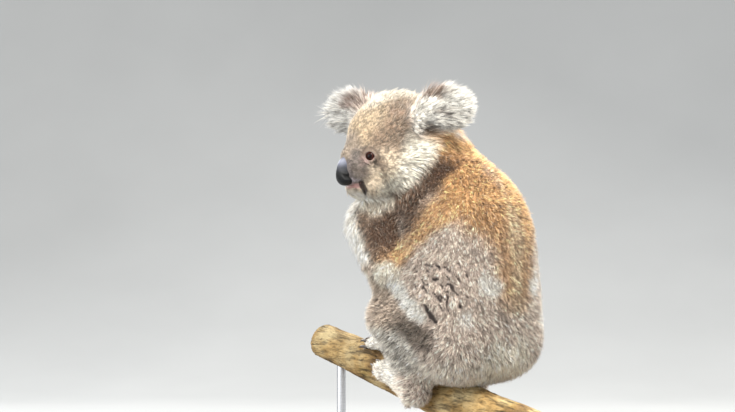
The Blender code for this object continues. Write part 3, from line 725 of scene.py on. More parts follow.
# Marks: colour, line through points, half width, softness, strength. One without a line lies round the eye.
BODY_MARKS = (
    (KNEE_GREY, ((1180, -480, 1200), (1180, -200, 950)), 300, 200, 0.80),
    (THIGH_SHADE, ((1180, -40, 820), (1100, 300, 720)), 100, 200, 0.90),
    (EAR_DARK_AND_SHADE, ((578, -7, 3548), (509, 62, 3479), (436, 106, 3437)), 70, 60, 0.90),
    (FOOT_GREY, ((980, -190, 490), (1040, -500, 560), (600, -900, 300)), 240, 160, 0.90),
    (NAPE, ((100, 100, 3550), (500, 500, 3000), (360, 900, 2580)), 240, 440, 0.95),
    (SPINE, ((260, 1020, 2350), (80, 1100, 1900), (20, 1120, 1400)), 120, 360, 0.85),
    # Painted rim light along the back.
    (PAINTED_BACK_RIM_LIGHT, ((0, 1050, 2500), (0, 1150, 1900), (0, 1120, 1200)), 40, 180, 0.50),
    # Golden fur with a painted backlit glow along the ridge.
    (GOLDEN_WITH_GLOW, ((660, 580, 2620), (800, 450, 2520), (900, 200, 2320), (1000, -100, 2060),
        (1160, -310, 1780)), 120, 180, 0.90),
    (SHOULDER_GREY, ((900, -200, 2500), (1040, -600, 2300), (1120, -700, 2000)), 300, 160, 0.85),
    # Dark brown fur with painted shade under the head and cheek, down the neck and shoulder.
    (NECK_DARK_AND_SHADE, ((400, 400, 3250), (520, 360, 3180), (660, 220, 3080)), 80, 140, 0.75),
    (SHOULDER_DARK_AND_SHADE, ((660, 220, 3080), (780, 60, 2850), (880, -150, 2620),
        (980, -400, 2450)), 120, 160, 0.95),
    (SHOULDER_DARK_AND_SHADE, ((940, -200, 2360), (1040, -460, 2150)), 140, 180, 0.90),
    (CREAM, ((1010, -830, 2610), (960, -700, 2520), (870, -580, 2590)), 100, 120, 0.80),
    (CREAM, ((1180, -250, 1580), (1080, -400, 1620)), 130, 120, 0.95),
    (WHITE, ((1070, -190, 1430), (1130, 50, 1220), (1150, 270, 1040)), 80, 90, 0.90),
    (WHITE, ((520, 1020, 1490), (400, 1080, 1420)), 70, 120, 0.90),
    (WHITE, ((780, 860, 980),), 60, 140, 0.60),
    (CREAM, ((200, 850, 400), (0, 900, 300)), 180, 200, 0.90),
)
# Dark at the ear's foot, deepened as painted shade where it meets the head.
EAR_FOOT = (EAR_DARK_AND_SHADE, ((13, 778, 200), (-67, 789, 49), (-146, 824, 7)), 70, 60, 0.90)
# Head marks, in the head's frame.
HEAD_MARKS = (
    (FOREHEAD, ((580, 0, 460), (700, 0, 200)), 160, 220, 0.95),
    (CROWN, ((460, 0, 640), (200, 100, 720), (0, 140, 720)), 100, 180, 0.90),
    (FOREHEAD_GREY, ((260, 460, 500), (240, 530, 300), (400, 500, 60), (520, 420, 0)), 140, 200, 0.80),
    (TEMPLE, ((358, 382, 423), (249, 460, 378), (162, 540, 274)), 30, 90, 0.65),
    (TEMPLE, ((466, 397, 272), (250, 555, 64)), 20, 80, 0.50),
    (FACE_DARK, ((66, 313, 586), (96, 396, 513), (138, 470, 427), (208, 491, 342)), 25, 50, 0.80),
    EAR_FOOT,
    (BRIDGE, ((850, 0, -20), (900, 0, -160)), 120, 140, 0.90),
    (CHEEK, ((580, 440, -360), (450, 500, -500), (500, 300, -750)), 200, 160, 0.70),
    (RUFF_HAIR, ((100, 720, -40), (180, 680, -300), (260, 600, -600), (300, 440, -720),
        (360, 240, -820)), 140, 220, 0.95),
    (RUFF_HAIR, ((72, 666, -25), (17, 693, 154)), 40, 70, 0.90),
    (WHITE, ((660, 0, -760), (500, 0, -840), (380, 180, -880)), 100, 160, 0.90),
    (MUZZLE, ((900, 120, -500), (860, 200, -400), (840, 200, -220)), 80, 140, 0.90),
    (BRIDGE, ((740, 340, -400), (680, 400, -300)), 30, 100, 0.60),
    (NOSE_SIDE, ((937, 76, -289), (934, 90, -376), (915, 119, -462)), 30, 40, 0.90),
    (EYE_RING, None, 115, 90, 0.85),
    (EYE_PALE, None, 88, 8, 0.50),
    # Painted shadow under the eye.
    (FACE_DARK, ((735, 225, -285), (693, 266, -295), (650, 305, -270)), 8, 22, 0.60),
    (FACE_DARK, ((905, 123, -370), (847, 207, -392), (756, 264, -408)), 14, 34, 0.70),
    (FACE_DARK, ((853, 214, -441), (777, 257, -451)), 20, 40, 0.30),
    (FACE_DARK, ((757, 178, -74), (768, 175, -160)), 15, 45, 0.45),
    (FOREHEAD_GREY, ((600, 360, -260), (575, 390, -330)), 30, 90, 0.60),
    (FACE_DARK, ((627, 309, -300), (579, 387, -322)), 12, 35, 0.40),
    (UPPER_LIP, ((890, 50, -540), (887, 110, -520), (874, 170, -510), (840, 198, -527)), 16, 28, 0.85),
    (PINK, ((798, 214, -290), (756, 228, -275), (793, 190, -236)), 20, 50, 0.75),
    (LIP_PINK, ((890, 0, -550), (872, 0, -600)), 40, 30, 0.90),
    (LIP_PINK, LIP_SKIN, 20, 30, 0.85),
    # Painted shadow in the fold below the mouth's corner and along the mouth's line.
    (PAINTED_CREASE_SHADE, MOUTH_FOLD, 32, 12, 0.97),
    (PAINTED_CREASE_SHADE, MOUTH_LINE, 6, 10, 0.85),
)
EAR_MARKS = (
    (WHITE, ((141, 609, 377), (110, 665, 420), (41, 815, 522)), 60, 160, 0.45),
    # Painted shade over the ear's grey inside, darkest low in its hollow.
    (EAR_GREY_AND_SHADE, ((10, 609, 734), (-20, 752, 748), (-60, 883, 706)), 100, 70, 0.95),
    (EAR_DARK_AND_SHADE, ((28, 643, 605), (-3, 671, 647)), 40, 40, 0.95),
    EAR_FOOT,
)
LEFT_EAR_MARKS = (
    # Painted shade in the left ear's inside.
    (INNER_EAR_AND_SHADE, ((-8, 943, 440), (-92, 1072, 379)), 50, 60, 0.90),
    (INNER_EAR_AND_SHADE, ((-57, 976, 263), (-80, 1010, 250)), 30, 50, 0.80),
)
RIGHT_EAR_MARKS = (
    (EAR_GREY_AND_SHADE, ((214, 854, 641), (212, 607, 558)), 90, 100, 0.95),
)
# Parted lines in the flank's fur: body points on the left, and the half width of each.
CREASES = (
    (((972, 185, 1806), (964, 254, 1801)), 8),
    (((976, 274, 1740), (961, 353, 1734), (936, 441, 1729)), 14),
    (((1008, 74, 1657), (999, 271, 1647)), 8),
    (((1022, 165, 1597), (1010, 273, 1598)), 11),
    (((984, 325, 1660), (972, 390, 1637)), 9),
    (((983, 417, 1551), (939, 520, 1546)), 16),
    (((897, 531, 1724), (868, 588, 1706), (850, 630, 1651), (820, 677, 1608)), 13),
    (((793, 652, 1871), (778, 688, 1798), (760, 722, 1731), (737, 751, 1718)), 9),
    (((720, 777, 1676), (703, 803, 1621), (674, 834, 1547)), 12),
    (((905, 597, 1486), (861, 657, 1474), (848, 687, 1400), (815, 732, 1346)), 16),
    (((962, 499, 1485), (928, 568, 1461), (933, 573, 1418)), 11),
    (((1018, 349, 1483), (1005, 413, 1453)), 12),
    (((1006, 448, 1380), (986, 513, 1320), (960, 574, 1253), (932, 615, 1235)), 15),
    (((921, 604, 1376), (899, 642, 1321), (916, 633, 1241), (919, 636, 1168), (898, 666, 1083)), 14),
    (((810, 752, 1242), (798, 766, 1174), (781, 783, 1138)), 15),
    (((1062, 340, 1201), (1049, 387, 1141), (1030, 437, 1055), (1007, 499, 983), (992, 536, 947)), 28),
    (((741, 805, 1303), (680, 849, 1308)), 8),
)


def paint(colours, marks, points, seed, unevenness=MARK_UNEVENNESS):
    """Lays marks over the colours, with ragged edges."""
    ragged = points + unevenness * drift(points, 0.011, seed)
    for colour, line, half_width, soft, strength in marks:
        near = from_eye(ragged) if line is None else from_line(ragged, line)
        edge = metres(half_width)
        mask = strength * (1.0 - smooth_step(edge, edge + metres(soft), near))
        colours = tinted(colours, colour, mask)
    return colours


CREASED_LOW, CREASED_HIGH = np.array((0.060, 0.000, 0.085)), np.array((0.120, 0.092, 0.195))
# Turns body points so that noise cells are drawn out along the way the flank's fine cracks run.
CRACK_RUN = np.array(((0.30, 0.00, 0.00), (0.00, 0.19, 0.78), (0.00, -0.24, 0.62)))
CRACK_CELL = 0.0026
CRACK_STRENGTH = 0.68


def crease_share(body_points, spread=1.0):
    """1 in the middle of a parted line, 0 away from it; spread widens the lines."""
    share = np.zeros(len(body_points))
    place = mirrored(body_points, 0)
    close = np.flatnonzero(((place > CREASED_LOW) & (place < CREASED_HIGH)).all(axis=1))
    place = place[close]
    crack = smooth_step(0.32, 0.24, lattice_noise(place @ CRACK_RUN, CRACK_CELL, 95))
    from_middle = np.hypot((place[:, 1] - 0.046) / 0.034, (place[:, 2] - 0.142) / 0.036)
    share[close] = CRACK_STRENGTH * crack * (1.0 - smooth_step(0.80, 1.10, from_middle))
    place = place + 0.0030 * drift(place, 0.0034, 91)
    for line, half_width in CREASES:
        near, along = distance_to_path(place, metres(line))
        taper = 1.25 * spread * metres(half_width) * (0.40 + 0.80 * np.sin(math.pi * along))
        share[close] = np.maximum(share[close], np.exp(-(near / taper) ** 2))
    return share


def shoulder_rim(points, normals, weights):
    """1 where the long pale hair stands off the front and outside of the shoulder; its white is partly a
    painted rim of light.
    """
    arms = share_of(weights, "upper_arm_left", "upper_arm_right")
    outward = np.sign(points[:, 0] - SEAT[0]) * normals[:, 0]
    facing = (outward - normals[:, 1]) * math.sqrt(0.5)
    return arms * smooth_step(0.62, 0.86, facing) * smooth_step(0.335, 0.350, points[:, 2])


def body_colour(body, normals):
    """The coat's colour on trunk and limbs, from body points with left taken as positive."""
    front = smooth_step(0.15, 0.75, -normals[:, 1]) * smooth_step(0.020, -0.020, body[:, 1])
    under = smooth_step(0.35, 0.85, -normals[:, 2])
    inner = smooth_step(0.060, 0.020, body[:, 0]) * smooth_step(0.010, -0.030, body[:, 1])
    low = smooth_step(0.26, 0.20, body[:, 2])
    pale = 0.85 * np.maximum(front, np.maximum(0.8 * under, inner * low))
    return paint(tinted(np.tile(FLANK, (len(body), 1)), CREAM, pale), BODY_MARKS, body, 21)


def head_colour(local):
    """The coat's colour on the head, from head points with left taken as positive."""
    above = 0.9 * smooth_step(-0.030, 0.010, local[:, 2])
    face = tinted(np.tile(CHEEK, (len(local), 1)), lerp(FOREHEAD, FOREHEAD_GREY, 0.30), above)
    return paint(face, HEAD_MARKS, local, 31, FACE_UNEVENNESS)


def ear_colour(local, left):
    """The coat's colour on the ears, each marked in its own way, the right one darker as painted shade; left
    is true at points of the left one.
    """
    # Painted shade: the right ear's hair is darkened to 0.70 of the left's.
    ear = paint(EAR_HAIR * np.where(left, 1.0, 0.70), EAR_MARKS, local, 41)
    return np.where(left, paint(ear, LEFT_EAR_MARKS, local, 42), paint(ear, RIGHT_EAR_MARKS, local, 43))


def coat_colour(points, normals, weights):
    """The colour of skin and coat at each point."""
    colours = body_colour(mirrored(points - SEAT, 0), normals)
    # White long hair on the shoulder's rim, partly painted rim light.
    colours = tinted(colours, WHITE, 0.97 * shoulder_rim(points, normals, weights))
    colours = tinted(colours, FOOT_GREY, 0.8 * share_of(weights, "hand_left", "hand_right"))
    local = in_left_head(points)
    colours = tinted(colours, head_colour(local), smooth_step(0.30, 0.70, share_of(weights, "head")))
    ear = ear_colour(local, in_head(points)[:, 1:2] > 0.0)
    return tinted(colours, ear, smooth_step(0.35, 0.75, share_of(weights, "ear_left", "ear_right")))


def fleck_share(points, weights):
    """How strongly dark flecks show at each point, by region."""
    head = share_of(weights, "head")
    local = in_head(points)
    share = np.full(len(points), 0.85)
    share = lerp(share, 0.95, smooth_step(0.20, 0.28, (points - SEAT)[:, 2]))
    share = lerp(share, 0.65 * smooth_step(-0.09, -0.02, local[:, 2]) + 0.30, head)
    share = lerp(share, 0.10, smooth_step(0.050, 0.070, local[:, 2]) * head)
    return lerp(share, 0.12, share_of(weights, "ear_left", "ear_right"))


# ---------------------------------------------------------------- tufts

# A short tuft is a straight three-sided spike, a long one has a bend in its middle. Both are closed.
SHORT_TRIANGLES = np.array(((0, 2, 1), (0, 1, 3), (1, 2, 3), (2, 0, 3)))
LONG_TRIANGLES = np.array((
    (0, 2, 1), (0, 1, 4), (0, 4, 3), (1, 2, 5), (1, 5, 4), (2, 0, 3), (2, 3, 5),
    (3, 4, 6), (4, 5, 6), (5, 3, 6),
))
SHORT_PATCH = BAKE_PATCH * np.array(((-0.5, -0.5), (0.5, -0.5), (0.0, -0.4), (0.0, 0.5)))
LONG_PATCH = BAKE_PATCH * np.array((
    (-0.5, -0.5), (0.5, -0.5), (0.0, -0.4), (-0.5, 0.1), (0.5, 0.1), (0.0, 0.0), (0.0, 0.5),
))


def tufts(name, hair, bent):
    """A joined piece of closed, tapering tufts, from a table of arrays with one row for each tuft."""
    side = unit(np.cross(hair["normal"], hair["lie"]))
    lift = np.radians(hair["lift"])[:, None]
    start = unit(np.cos(lift) * hair["lie"] + np.sin(lift) * hair["normal"] + 0.7 * hair["pull"])
    rise = unit(np.cross(start, side))
    wide, length = hair["width"][:, None], hair["length"][:, None]
    base = hair["root"] - ROOT_SINK * hair["normal"]
    rings = [base - 0.5 * wide * side, base + 0.5 * wide * side, base + 0.4 * wide * rise]
    colours = [hair["root_colour"]] * 3
    if bent:
        droop = 0.35 * lift
        end = unit(np.cos(droop) * hair["lie"] + np.sin(droop) * hair["normal"] + hair["pull"])
        end = unit(lerp(end, start, hair["stiff"][:, None]))
        middle = base + 0.5 * length * start
        rings += [middle - 0.5 * wide * side, middle + 0.5 * wide * side, middle + 0.4 * wide * rise]
        rings.append(middle + 0.5 * length * end)
        colours += [lerp(hair["root_colour"], hair["tip_colour"], 0.65)] * 3
    else:
        rings.append(base + length * start)
    colours.append(hair["tip_colour"])
    points = np.stack(rings, axis=1)
    corners = LONG_TRIANGLES if bent else SHORT_TRIANGLES
    patch = LONG_PATCH if bent else SHORT_PATCH
    faces = (corners[None] + len(patch) * np.arange(len(points))[:, None, None]).reshape(-1, 3)
    body = fast_mesh(name, points.reshape(-1, 3), faces)
    set_colour(body, np.stack(colours, axis=1).reshape(-1, 3))
    corner_uv = (hair["uv"][:, None, :] + patch[None]).reshape(-1, 2)
    layer = body.data.uv_layers.new(name="OFBake")
    layer.data.foreach_set("uv", corner_uv.astype(np.float32)[faces.ravel()].ravel())
    return body


def scatter(rng, vertices, triangles, density, total):
    """Random places on the skin: triangle and corner shares, as many as total, by density."""
    a, b, c = (vertices[triangles[:, corner]] for corner in range(3))
    area = 0.5 * np.linalg.norm(np.cross(b - a, c - a), axis=1)
    weight = area * density[triangles].mean(axis=1)
    steps = np.cumsum(weight)
    chosen = np.searchsorted(steps, rng.random(total) * steps[-1])
    first = np.sqrt(rng.random(total))
    second = rng.random(total)
    shares = np.stack((1.0 - first, first * (1.0 - second), first * second), axis=1)
    return np.minimum(chosen, len(triangles) - 1), shares


def clump_pull(rng, roots, tips, strength):
    """Moves that draw each tip part of the way to its nearest leader's tip, and each tuft's leader."""
    leaders = rng.choice(len(roots), len(roots) // TUFTS_TO_A_CLUMP, replace=False)
    tree = kdtree.KDTree(len(leaders))
    for index, leader in enumerate(leaders):
        tree.insert(roots[leader], index)
    tree.balance()
    nearest = leaders[np.array([tree.find(root)[1] for root in roots])]
    return strength * (tips[nearest] - tips), nearest


def near_mouth(local):
    """True on the mouth's line and its fold, at head points with left taken as positive."""
    line = from_line(local, MOUTH_LINE) < MOUTH_HALF_WIDTH
    return line | (from_line(local, MOUTH_FOLD) < FOLD_HALF_WIDTH)


def bare_places(points):
    """True where no tuft may grow: the nose pad, the eye openings, the mouth's line and its fold."""
    local = in_head(points)
    from_nose = (local - in_head(NOSE)) / (NOSE_RADII + NOSE_MARGIN)
    from_nose[:, 1] /= lerp(1.0, 0.50, smooth_step(-0.85, 0.25, from_nose[:, 2]))
    bare = np.linalg.norm(from_nose, axis=1) < 1.0
    local = mirrored(local)
    opening, front = eye_view(local, BARE_MARGIN)
    bare |= (opening < 1.0) & front
    bare |= from_line(local, LIP_SKIN) < LIP_HALF_WIDTH
    return bare | near_mouth(local)


RUFF = ((80, 680, -20), (140, 640, -360), (280, 520, -700))
CHIN_BEARD = ((620, 0, -760), (500, 120, -800), (360, 260, -820))


def sample_roots(rng, vertices, triangles, weights, uv_at, share, total):
    """A table of tuft roots spread over the skin by share, with normal, lie, UV and node weights."""
    normals = point_normals(vertices, triangles)
    lie = lie_of_coat(vertices, normals, weights, edges_of(triangles))
    chosen, shares = scatter(rng, vertices, triangles, share, total)
    corners = triangles[chosen]

    def at(values):
        return (values[corners] * shares[:, :, None]).sum(axis=1)

    hair = {"root": at(vertices), "normal": unit(at(normals)), "lie": unit(at(lie)), "weights": at(weights)}
    hair["uv"] = (uv_at[chosen] * shares[:, :, None]).sum(axis=1)
    drop = bare_places(hair["root"]) | (crease_share(hair["root"] - SEAT) > CREASE_BARE)
    drop |= inside_perch(hair["root"] + ROOT_CLEARANCE * hair["normal"])
    return {key: values[~drop] for key, values in hair.items()}


def regions(points, normals, weights):
    """Head points with left as positive, and shares of the head, ears, ruff, shoulder's rim and crown."""
    local = in_left_head(points)
    head = share_of(weights, "head")
    ears = share_of(weights, "ear_left", "ear_right")
    cheek = 1.0 - smooth_step(0.010, 0.026, from_line(local, RUFF))
    chin = 0.8 * (1.0 - smooth_step(0.006, 0.018, from_line(local, CHIN_BEARD)))
    ruff = np.clip(head + 0.3, 0.0, 1.0) * np.maximum(cheek, chin) * (1.0 - ears)
    crown = head * smooth_step(0.046, 0.066, local[:, 2])
    return local, head, ears, ruff, shoulder_rim(points, normals, weights), crown


def parted(roots, reach):
    """How far each tuft may run before it would lie over a crease or the mouth, as a share of its length."""
    share = np.ones(len(reach))
    for step in (1.0, 0.8, 0.6, 0.4, 0.2):
        place = roots + step * reach
        over = (crease_share(place - SEAT) > CREASE_OVERHUNG) | near_mouth(in_left_head(place))
        share = np.where(over, step - 0.1, share)
    return share


def size_tufts(rng, hair, bent):
    """Gives each tuft its length, width and lift, and keeps its share of the regions."""
    roots, weights = hair["root"], hair["weights"]
    local, head, ears, ruff, rim, crown = regions(roots, hair["normal"], weights)
    face = head * smooth_step(0.020, 0.066, local[:, 0])
    length, width, lift = (by_region(weights, item) for item in (LENGTH, WIDTH, LIFT))
    for share, sizes in ((face, FACE_TUFT), (1.0 - smooth_step(0.008, 0.013, from_eye(local)), LID_TUFT)):
        length, width, lift = (lerp(value, size, share) for value, size in zip((length, width, lift), sizes))
    if bent:
        body = 1.0 - np.clip(head + ears + rim, 0.0, 1.0)
        length = lerp(length * lerp(1.10, 1.45, body), LONG_RUFF_HAIR, ruff)
        length = lerp(length, LONG_SHOULDER_HAIR, rim)
        width = width * lerp(1.0, 0.60, body)
        lift = lerp(lift + 8.0 * body, 36.0, np.maximum(ruff, rim))
    length *= rng.uniform(lerp(0.75, 0.65, ears), 1.25)
    length *= 1.0 + (1.0 if bent else 0.3) * crown
    spiky = smooth_step(0.38, 0.62, lattice_noise(roots, 0.0042, 62))
    length *= lerp(1.0, lerp(0.60, 1.35, spiky), np.clip(ears + crown + 0.5 * ruff, 0.0, 1.0))
    width *= rng.uniform(0.80, 1.25, len(roots))
    lift += rng.normal(0.0, 9.0, len(roots))
    hair["length"], hair["width"], hair["lift"] = length, width, lift
    hair["head"], hair["face"], hair["ears"], hair["ruff"] = head, face, ears, ruff
    hair["stiff"] = np.clip(0.7 * ears + 0.2 * ruff + 0.5 * rim, 0.0, 1.0)


def turn_tufts(rng, hair):
    """Swirls each tuft's lie, and stands the hair at an ear's edge out into a fringe."""
    roots, ears = hair["root"], hair["ears"]
    swirl = (lattice_noise(roots, 0.014, 61) - 0.5) + rng.normal(0.0, 0.26, len(roots))
    turn = (swirl * np.clip(1.0 - 0.55 * hair["face"] - 0.45 * ears, 0.2, 1.0))[:, None]
    side = np.cross(hair["normal"], hair["lie"])
    lie = unit(np.cos(turn) * hair["lie"] + np.sin(turn) * side)
    out = unit(roots - np.where(in_head(roots)[:, 1:2] > 0.0, EAR_ROOTS[1.0], EAR_ROOTS[-1.0]))
    edge = ears * smooth_step(0.25, 0.85, (out * hair["normal"]).sum(axis=1))
    hair["lie"] = unit(tinted(lie, out, 0.85 * edge))
    hair["lift"] = lerp(hair["lift"], 6.0, edge)
    hair["length"] = hair["length"] * lerp(1.0, 0.62, edge)


def clump_tufts(rng, hair):
    """Shortens tufts that would lie over a parting, and draws their tips together into clumps."""
    roots = hair["root"]
    angle = np.radians(0.7 * hair["lift"])[:, None]
    way = np.cos(angle) * hair["lie"] + np.sin(angle) * hair["normal"]
    hair["crease"] = crease_share(roots - SEAT)
    flat = (hair["length"] * np.cos(np.radians(hair["lift"])))[:, None] * hair["lie"]
    hair["length"] = hair["length"] * parted(roots, flat) * (1.0 - 0.5 * hair["crease"])
    length = hair["length"][:, None]
    strength = 0.60 - 0.25 * hair["head"] - 0.18 * hair["face"] + 0.10 * hair["ruff"]
    draw, hair["leader"] = clump_pull(rng, roots, roots + length * way, strength[:, None])
    hair["pull"] = draw / length
    hair["tip"] = roots + length * way + draw


def colour_tufts(rng, hair):
    """Gives each tuft the marking's colour at root and tip, with flecks, pale hairs, painted shade near the
    partings and roots darkened as painted shade deep in the coat.
    """
    roots, weights = hair["root"], hair["weights"]
    count = len(roots)
    grain = lattice_noise(hair["tip"], 0.0026, 71)
    coarse = lattice_noise(hair["tip"], 0.011, 72)
    value = 0.80 * grain + 0.20 * coarse
    share = fleck_share(roots, weights)
    uneven = 0.06 + 0.18 * share + 0.14 * hair["ears"]
    shade = 1.0 + uneven * (rng.normal(0.0, 1.0, count)[hair["leader"]] + 0.5 * rng.normal(0.0, 1.0, count))
    pale = 0.36 * (rng.random(count) < 0.10) * (1.0 - 0.6 * hair["face"])
    wrinkled = 0.8 * crease_share(roots - SEAT, 3.0)
    shown = {}
    for end, place in (("root", roots), ("tip", lerp(roots, hair["tip"], 0.8))):
        colours = coat_colour(place, hair["normal"], weights)
        flecked = share * (1.0 - 0.7 * smooth_step(0.62, 0.85, colours.mean(axis=1)))
        # Painted shade: dark patches along the partings, beside the real flecks.
        painted_wrinkle_shade = smooth_step(0.46, 0.56, value) * wrinkled
        dark = np.maximum(smooth_step(0.51, 0.60, value) * flecked, painted_wrinkle_shade)
        light = smooth_step(0.50, 0.36, value) * flecked
        colours = tinted(colours, colours * 0.22 + 0.10 * FLECK, 0.85 * dark)
        colours = colours * ((1.0 + 0.28 * light) * np.clip(shade, 0.35, 1.5))[:, None]
        # Painted shade: tufts in a parting take its dark colour.
        colours = tinted(tinted(colours, CREAM, pale), PAINTED_CREASE_SHADE, 0.95 * hair["crease"])
        shown[end] = np.clip(colours, 0.004, 0.97)
    # Painted shade: the roots are darker than the tips, less so on the face, ears, ruff and pale coat.
    soft = np.clip(0.8 * hair["face"] + 0.5 * hair["ears"] + 0.6 * hair["ruff"], 0.0, 1.0)
    soft = np.maximum(soft, 0.8 * smooth_step(0.55, 0.85, shown["root"].mean(axis=1)))
    hair["root_colour"] = shown["root"] * lerp(0.45, 0.80, soft)[:, None]
    hair["tip_colour"] = np.clip(lerp(shown["tip"], CREAM, 0.06) * 1.06, 0.0, 0.97)


def fur(vertices, triangles, weights, uv_at):
    """The whole coat: short tufts all over, and long ones mostly on the ears, cheeks and shoulders."""
    rng = np.random.default_rng(SEED)
    normals = point_normals(vertices, triangles)
    local, head, ears, ruff, rim, crown = regions(vertices, normals, weights)
    face = head * smooth_step(0.020, 0.060, local[:, 0])
    even = by_region(weights, SHARE) * (1.0 + 2.2 * face) * (1.0 - 0.60 * ears)
    shaggy = 7.0 * ears + 5.0 * ruff + 4.0 * rim + 2.0 * crown + 0.32 * (1.0 - face)
    thinning = 1.0
    pieces = []
    for kind, bent, share, total, most in (
        ("short", False, even, SHORT_TUFTS, SHORT_IN_A_PIECE),
        ("long", True, shaggy, LONG_TUFTS, LONG_IN_A_PIECE),
    ):
        hair = sample_roots(rng, vertices, triangles, weights, uv_at, share, int(total * thinning))
        size_tufts(rng, hair, bent)
        turn_tufts(rng, hair)
        clump_tufts(rng, hair)
        colour_tufts(rng, hair)
        order = np.argsort(hair["root"][:, 2])
        for index, block in enumerate(np.array_split(order, math.ceil(len(order) / most))):
            rows = {key: values[block] for key, values in hair.items()}
            pieces.append(tufts("coat_%s_%d" % (kind, index + 1), rows, bent))
    return pieces


# ---------------------------------------------------------------- materials

class Nodes:
    """A small helper to wire a node material."""

    def __init__(self, name, **figures):
        self.material = bpy.data.materials.new(name)
        self.material.use_nodes = True
        self.tree = self.material.node_tree
        self.shader = self.tree.nodes["Principled BSDF"]
        for key, value in figures.items():
            self.shader.inputs[key.replace("_", " ")].default_value = value

    def add(self, kind, settings=None, inputs=None):
        """A node with its settings, and its inputs linked or set."""
        node = self.tree.nodes.new(kind)
        for key, value in (settings or {}).items():
            setattr(node, key, value)
        for key, value in (inputs or {}).items():
            self.put(node.inputs[key], value)
        return node

    def put(self, socket, value):
        """Links a socket to another, or sets its value."""
        if isinstance(value, bpy.types.NodeSocket):
            self.tree.links.new(value, socket)
        else:
            socket.default_value = value

    def place(self, scale=(1.0, 1.0, 1.0)):
        """Object coordinates, scaled."""
        inputs = {"Vector": self.add("ShaderNodeTexCoord").outputs["Object"], "Scale": scale}
        return self.add("ShaderNodeMapping", inputs=inputs).outputs["Vector"]

    def noise(self, scale, detail=3.0, vector=None, rough=0.5):
        """A noise texture's value."""
        inputs = {"Scale": scale, "Detail": detail, "Roughness": rough, "Vector": vector or self.place()}
        return self.add("ShaderNodeTexNoise", inputs=inputs).outputs["Fac"]

    def ramp(self, value, *stops):
        """A colour ramp; each stop is a position and a linear colour."""
        node = self.add("ShaderNodeValToRGB", inputs={"Fac": value})
        elements = node.color_ramp.elements
        for index, (position, colour) in enumerate(stops):
            element = elements[index] if index < 2 else elements.new(position)
            element.position = position
            element.color = (*colour, 1.0)
        return node.outputs["Color"]

    def mix(self, share, first, second, how="MIX"):
        """Mixes two colours."""
        node = self.add("ShaderNodeMix", {"data_type": "RGBA", "blend_type": how})
        self.put(node.inputs[0], share)
        self.put(node.inputs[6], first)
        self.put(node.inputs[7], second)
        return node.outputs[2]

    def math(self, how, first, second):
        """A sum on two values."""
        node = self.add("ShaderNodeMath", {"operation": how})
        self.put(node.inputs[0], first)
        self.put(node.inputs[1], second)
        return node.outputs[0]

    def colour(self, value):
        """Sets the base colour."""
        self.put(self.shader.inputs["Base Color"], value)

    def rough(self, value, low, high):
        """Roughness between low and high as a value goes from 0 to 1."""
        node = self.add("ShaderNodeMapRange", inputs={"Value": value, "To Min": low, "To Max": high})
        self.put(self.shader.inputs["Roughness"], node.outputs["Result"])

    def bump(self, height, distance, strength):
        """Bump from a height."""
        inputs = {"Height": height, "Distance": distance, "Strength": strength}
        self.put(self.shader.inputs["Normal"], self.add("ShaderNodeBump", inputs=inputs).outputs["Normal"])

    def kept(self):
        """The colour kept on the mesh."""
        return self.add("ShaderNodeAttribute", {"attribute_name": "Coat"}).outputs["Color"]

    def grained(self, base, share, value, dark, pale):
        """Base colour with a share of grain, from a value and two stops of position and grey."""
        grain = self.ramp(value, *((position, (grey,) * 3) for position, grey in (dark, pale)))
        self.colour(self.mix(share, base, grain, "SOFT_LIGHT"))


def coat_material():
    """Hair: the colour kept on each tuft, soft and slightly shiny."""
    nodes = Nodes("coat", Specular_IOR_Level=0.20, Sheen_Weight=0.10, Sheen_Roughness=0.4)
    shade = nodes.noise(900.0, 2.0)
    nodes.grained(nodes.kept(), 0.25, shade, (0.3, 0.35), (0.7, 0.9))
    nodes.rough(shade, 0.55, 0.75)
    return nodes.material


def skin_material():
    """Skin and underfur: the coat's colour, kept darker as painted shade under the coat, with a fine bump.
    """
    nodes = Nodes("skin", Specular_IOR_Level=0.25, Sheen_Weight=0.15)
    fine = nodes.noise(1400.0, 3.0)
    nodes.grained(nodes.kept(), 0.4, fine, (0.3, 0.3), (0.7, 0.8))
    nodes.rough(fine, 0.6, 0.85)
    nodes.bump(fine, 0.0006, 0.6)
    return nodes.material


def eye_material():
    """A wet eyeball coloured by its own mesh."""
    nodes = Nodes("eye", Coat_Weight=0.16, Coat_Roughness=0.03, Specular_IOR_Level=0.04)
    fibres = nodes.noise(2600.0, 4.0)
    nodes.grained(nodes.kept(), 0.35, fibres, (0.35, 0.25), (0.65, 0.85))
    nodes.rough(fibres, 0.08, 0.16)
    return nodes.material


def lid_material():
    """Moist pink lid and lip skin."""
    nodes = Nodes("lid", Specular_IOR_Level=0.5, Subsurface_Weight=0.15, Subsurface_Scale=0.002)
    fine = nodes.noise(1500.0, 3.0)
    nodes.grained(nodes.kept(), 0.4, fine, (0.3, 0.3), (0.7, 0.75))
    nodes.rough(fine, 0.30, 0.50)
    nodes.bump(fine, 0.0003, 0.5)
    return nodes.material


def nose_material():
    """Black leathery nose with small pebbles."""
    nodes = Nodes("nose", Specular_IOR_Level=0.20, Coat_Weight=0.06, Coat_Roughness=0.30)
    cells = nodes.add("ShaderNodeTexVoronoi", {"feature": "DISTANCE_TO_EDGE"},
                      {"Vector": nodes.place(), "Scale": 1100.0}).outputs["Distance"]
    cloud = nodes.noise(120.0, 3.0)
    nodes.grained(nodes.kept(), 0.5, cloud, (0.3, 0.3), (0.7, 0.75))
    nodes.rough(cloud, 0.34, 0.50)
    nodes.bump(cells, 0.0006, 0.7)
    return nodes.material


